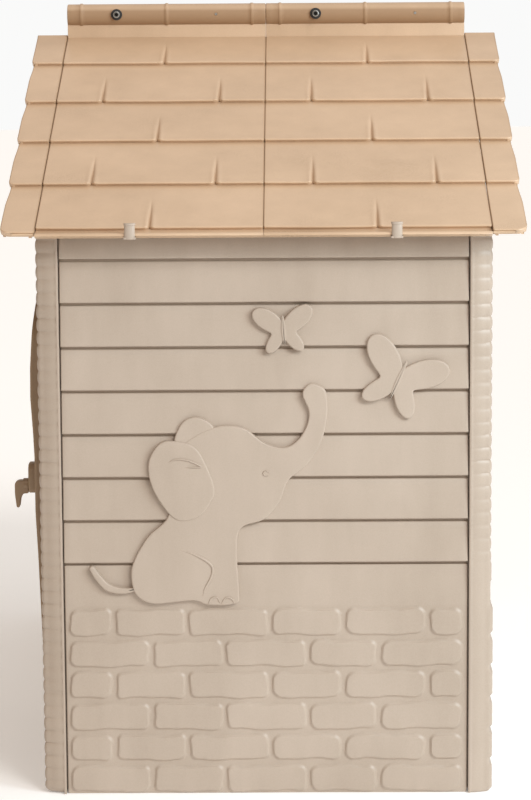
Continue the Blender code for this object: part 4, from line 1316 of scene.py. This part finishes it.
def pin(centre, radius, low, high, head):
    """A plastic hinge pin with a domed head and a tapered tip."""
    circle = unit_circle(24)
    loops = [(radius - 0.0008, low), (radius, low + 0.0015), (radius, high), (head, high)]
    loops += [(head, high + 0.0018), (head * 0.86, high + 0.0026), (head * 0.55, high + 0.0031)]
    return tube(np.stack([facing_z(centre + circle * size, level) for size, level in loops]))


DOOR_TURN = (-1, -1, 1)
leaf = leaf_parts()
piece("door_leaf_moulding", leaf, brown, "door", "brown_plastic", ["door_leaf"], DOOR_TURN)
for foot, level in zip(HINGE_FEET, ("low", "high")):
    node = f"door_hinge_pin_{level}"
    part = pin(HINGE, PIN_RADIUS, foot + 0.001, foot + 0.0403, 0.005)
    piece(f"{node}_moulding", [part], brown, "house", "brown_plastic", [node], DOOR_TURN)

# ---- Door handle -------------------------------------------------------------------------
# A brown hooked lever on a plate. Its spindle goes through the leaf to a latch tongue inside,
# held by a screw, so that handle and tongue turn together.

PLATE_BACK = POST_X + 0.0131
PLATE_FACE = 0.3707


def rounded(outline, radius, steps=5):
    """The outline with each corner replaced by a short curve, a radius along either side."""
    outline = np.array(outline, float)
    before, after = np.roll(outline, 1, axis=0), np.roll(outline, -1, axis=0)
    sizes = np.linalg.norm(before - outline, axis=1), np.linalg.norm(after - outline, axis=1)
    start = outline + (before - outline) * np.minimum(radius / sizes[0], 0.45)[:, None]
    end = outline + (after - outline) * np.minimum(radius / sizes[1], 0.45)[:, None]
    t = np.linspace(0, 1, steps)[None, :, None]
    curve = start[:, None] * (1 - t) ** 2 + 2 * outline[:, None] * t * (1 - t) + end[:, None] * t**2
    return curve.reshape(-1, 2)


plate = rounded([(0.509, 0.454), (0.541, 0.454), (0.541, 0.501), (0.509, 0.501)], 0.009)
raised = plate * 0.8 + (0.105, 0.0955)
parts = [pillow(plate, PLATE_BACK, PLATE_FACE, 0.0022, facing_x)]
parts.append(pillow(raised, PLATE_BACK, PLATE_FACE + 0.0004, 0.0004, facing_x))
piece("handle_plate_moulding", parts, brown, "door", "brown_plastic", ["handle_plate"], DOOR_TURN)

neck = PLATE_FACE + 0.0005
hook = [(neck, 0.4735), (0.3880, 0.4725), (0.3930, 0.4690), (0.3930, 0.4520), (0.3905, 0.4305)]
hook += [(0.3858, 0.4305), (0.3840, 0.4440), (0.3800, 0.4525), (neck, 0.4530)]
hook = rounded(hook, 0.0026)
handle = [pillow(hook, HANDLE[0] - 0.009, HANDLE[0] + 0.009, 0.0011, facing_y)]
handle.append(cylinder(HANDLE, 0.0098, neck, 0.3800, facing_x, 36, 0.0012))
handle.append(cylinder(HANDLE, 0.0060, 0.3096, neck + 0.004, facing_x, 24, 0.0004))
tongue = rounded([(0.516, 0.406), (0.534, 0.406), (0.534, 0.475), (0.516, 0.475)], 0.006)
latch = [pillow(tongue, 0.304, 0.3092, 0.0012, facing_x)]
latch_screw = [screw(HANDLE, 0.3037, 0.3232, facing_x)]
for node, made_as, parts, material, slot in (
    ("door_handle", "moulding", handle, brown, "brown_plastic"),
    ("door_latch", "moulding", latch, brown, "brown_plastic"),
    ("latch_screw", "turned", latch_screw, steel, "steel"),
):
    piece(f"{node}_{made_as}", parts, material, "door_handle", slot, [node], DOOR_TURN)

# ---- Window shutters ---------------------------------------------------------------------
# A pair of brown louvred leaves to each window. Each has a frame, a thin back and slanting
# slats, and hangs by two lugs whose pins drop into the wall's eyes.

SHUTTER_BACK = 0.334
SHUTTER_FACE = 0.348
SHUTTER_GAP = 0.0015
SLAT_PITCH = 0.0185
LUG_HEIGHT = 0.008


def shutter_parts():
    """The inner leaf of a window's pair, at +X and +Y."""
    left, right, sill, spring, top = WINDOW
    middle, half, high = (left + right) / 2, (right - left) / 2 - SHUTTER_GAP, top - SHUTTER_GAP
    low, far = sill + 0.002, middle - 0.001
    turn = np.pi - np.linspace(np.arcsin((middle - far) / half), np.pi / 2, 30)[::-1]
    curve = np.stack([middle + half * np.cos(turn), spring + (high - spring) * np.sin(turn)], axis=1)
    curve = curve[curve[:, 0] < far - 0.0005]
    line = np.concatenate([[(far, low), (far, high)], curve, [(left + SHUTTER_GAP, low)]])
    line = turned_left(line)
    frame = [(0, SHUTTER_BACK), (0, SHUTTER_FACE - 0.0010), (-0.0003, SHUTTER_FACE - 0.0003)]
    frame += [(-0.0010, SHUTTER_FACE), (-0.0160, SHUTTER_FACE), (-0.0168, SHUTTER_FACE - 0.0004)]
    frame += [(-0.0170, SHUTTER_FACE - 0.0012), (-0.0170, SHUTTER_BACK)]
    made = [moulding(line, frame)]
    inner = line - outward(line) * 0.004
    made.append(pillow(inner, SHUTTER_BACK + 0.002, SHUTTER_BACK + 0.0045, 0.0003, facing_x))
    for z in np.arange(low + 0.0200, high - 0.020, SLAT_PITCH):
        share = np.clip((z + 0.008 - spring) / (high - spring), 0, 1)
        start = middle - half * math.sqrt(1 - share**2) + 0.0155
        if far - 0.0155 - start < 0.012:
            continue
        slat = [(0.3395, z + 0.0125), (0.3415, z + 0.0135), (0.3470, z + 0.0012), (0.3466, z - 0.0010)]
        slat += [(0.3450, z - 0.0012)]
        made.append(pillow(rounded(slat, 0.0006, 3), start, far - 0.0155, 0.0003, facing_y))
    axis = np.array([SHUTTER_AXIS_X, SHUTTER_AXES[0]])
    for foot in SHUTTER_EYES:
        base = foot + 0.0125
        made.append(cylinder(axis, 0.005, base, base + LUG_HEIGHT, facing_z))
        arm = [(0.345, 0.1925), (0.3545, 0.1925), (0.3545, 0.2040), (0.3510, 0.2110), (0.345, 0.2110)]
        made.append(pillow(rounded(arm, 0.0012, 3), base, base + LUG_HEIGHT, 0.0006, facing_z))
        made.append(cylinder(axis, PIN_RADIUS, foot + 0.001, base + 0.002, facing_z, 20, 0.0006))
    return made


inner_leaf = shutter_parts()
across_window = (0, WINDOW[0] + WINDOW[1], 0)
outer_leaf = [(part[0] * (1, -1, 1) + across_window, *part[1:]) for part in inner_leaf]
for window, x_side, y_side in (("front", -1, 1), ("rear_right", 1, -1), ("rear_left", 1, 1)):
    for which, parts in (("inner", inner_leaf), ("outer", outer_leaf)):
        node = f"shutter_{window}_{which}"
        piece(f"{node}_moulding", parts, brown, node, "brown_plastic", [node], (x_side, y_side, 1))
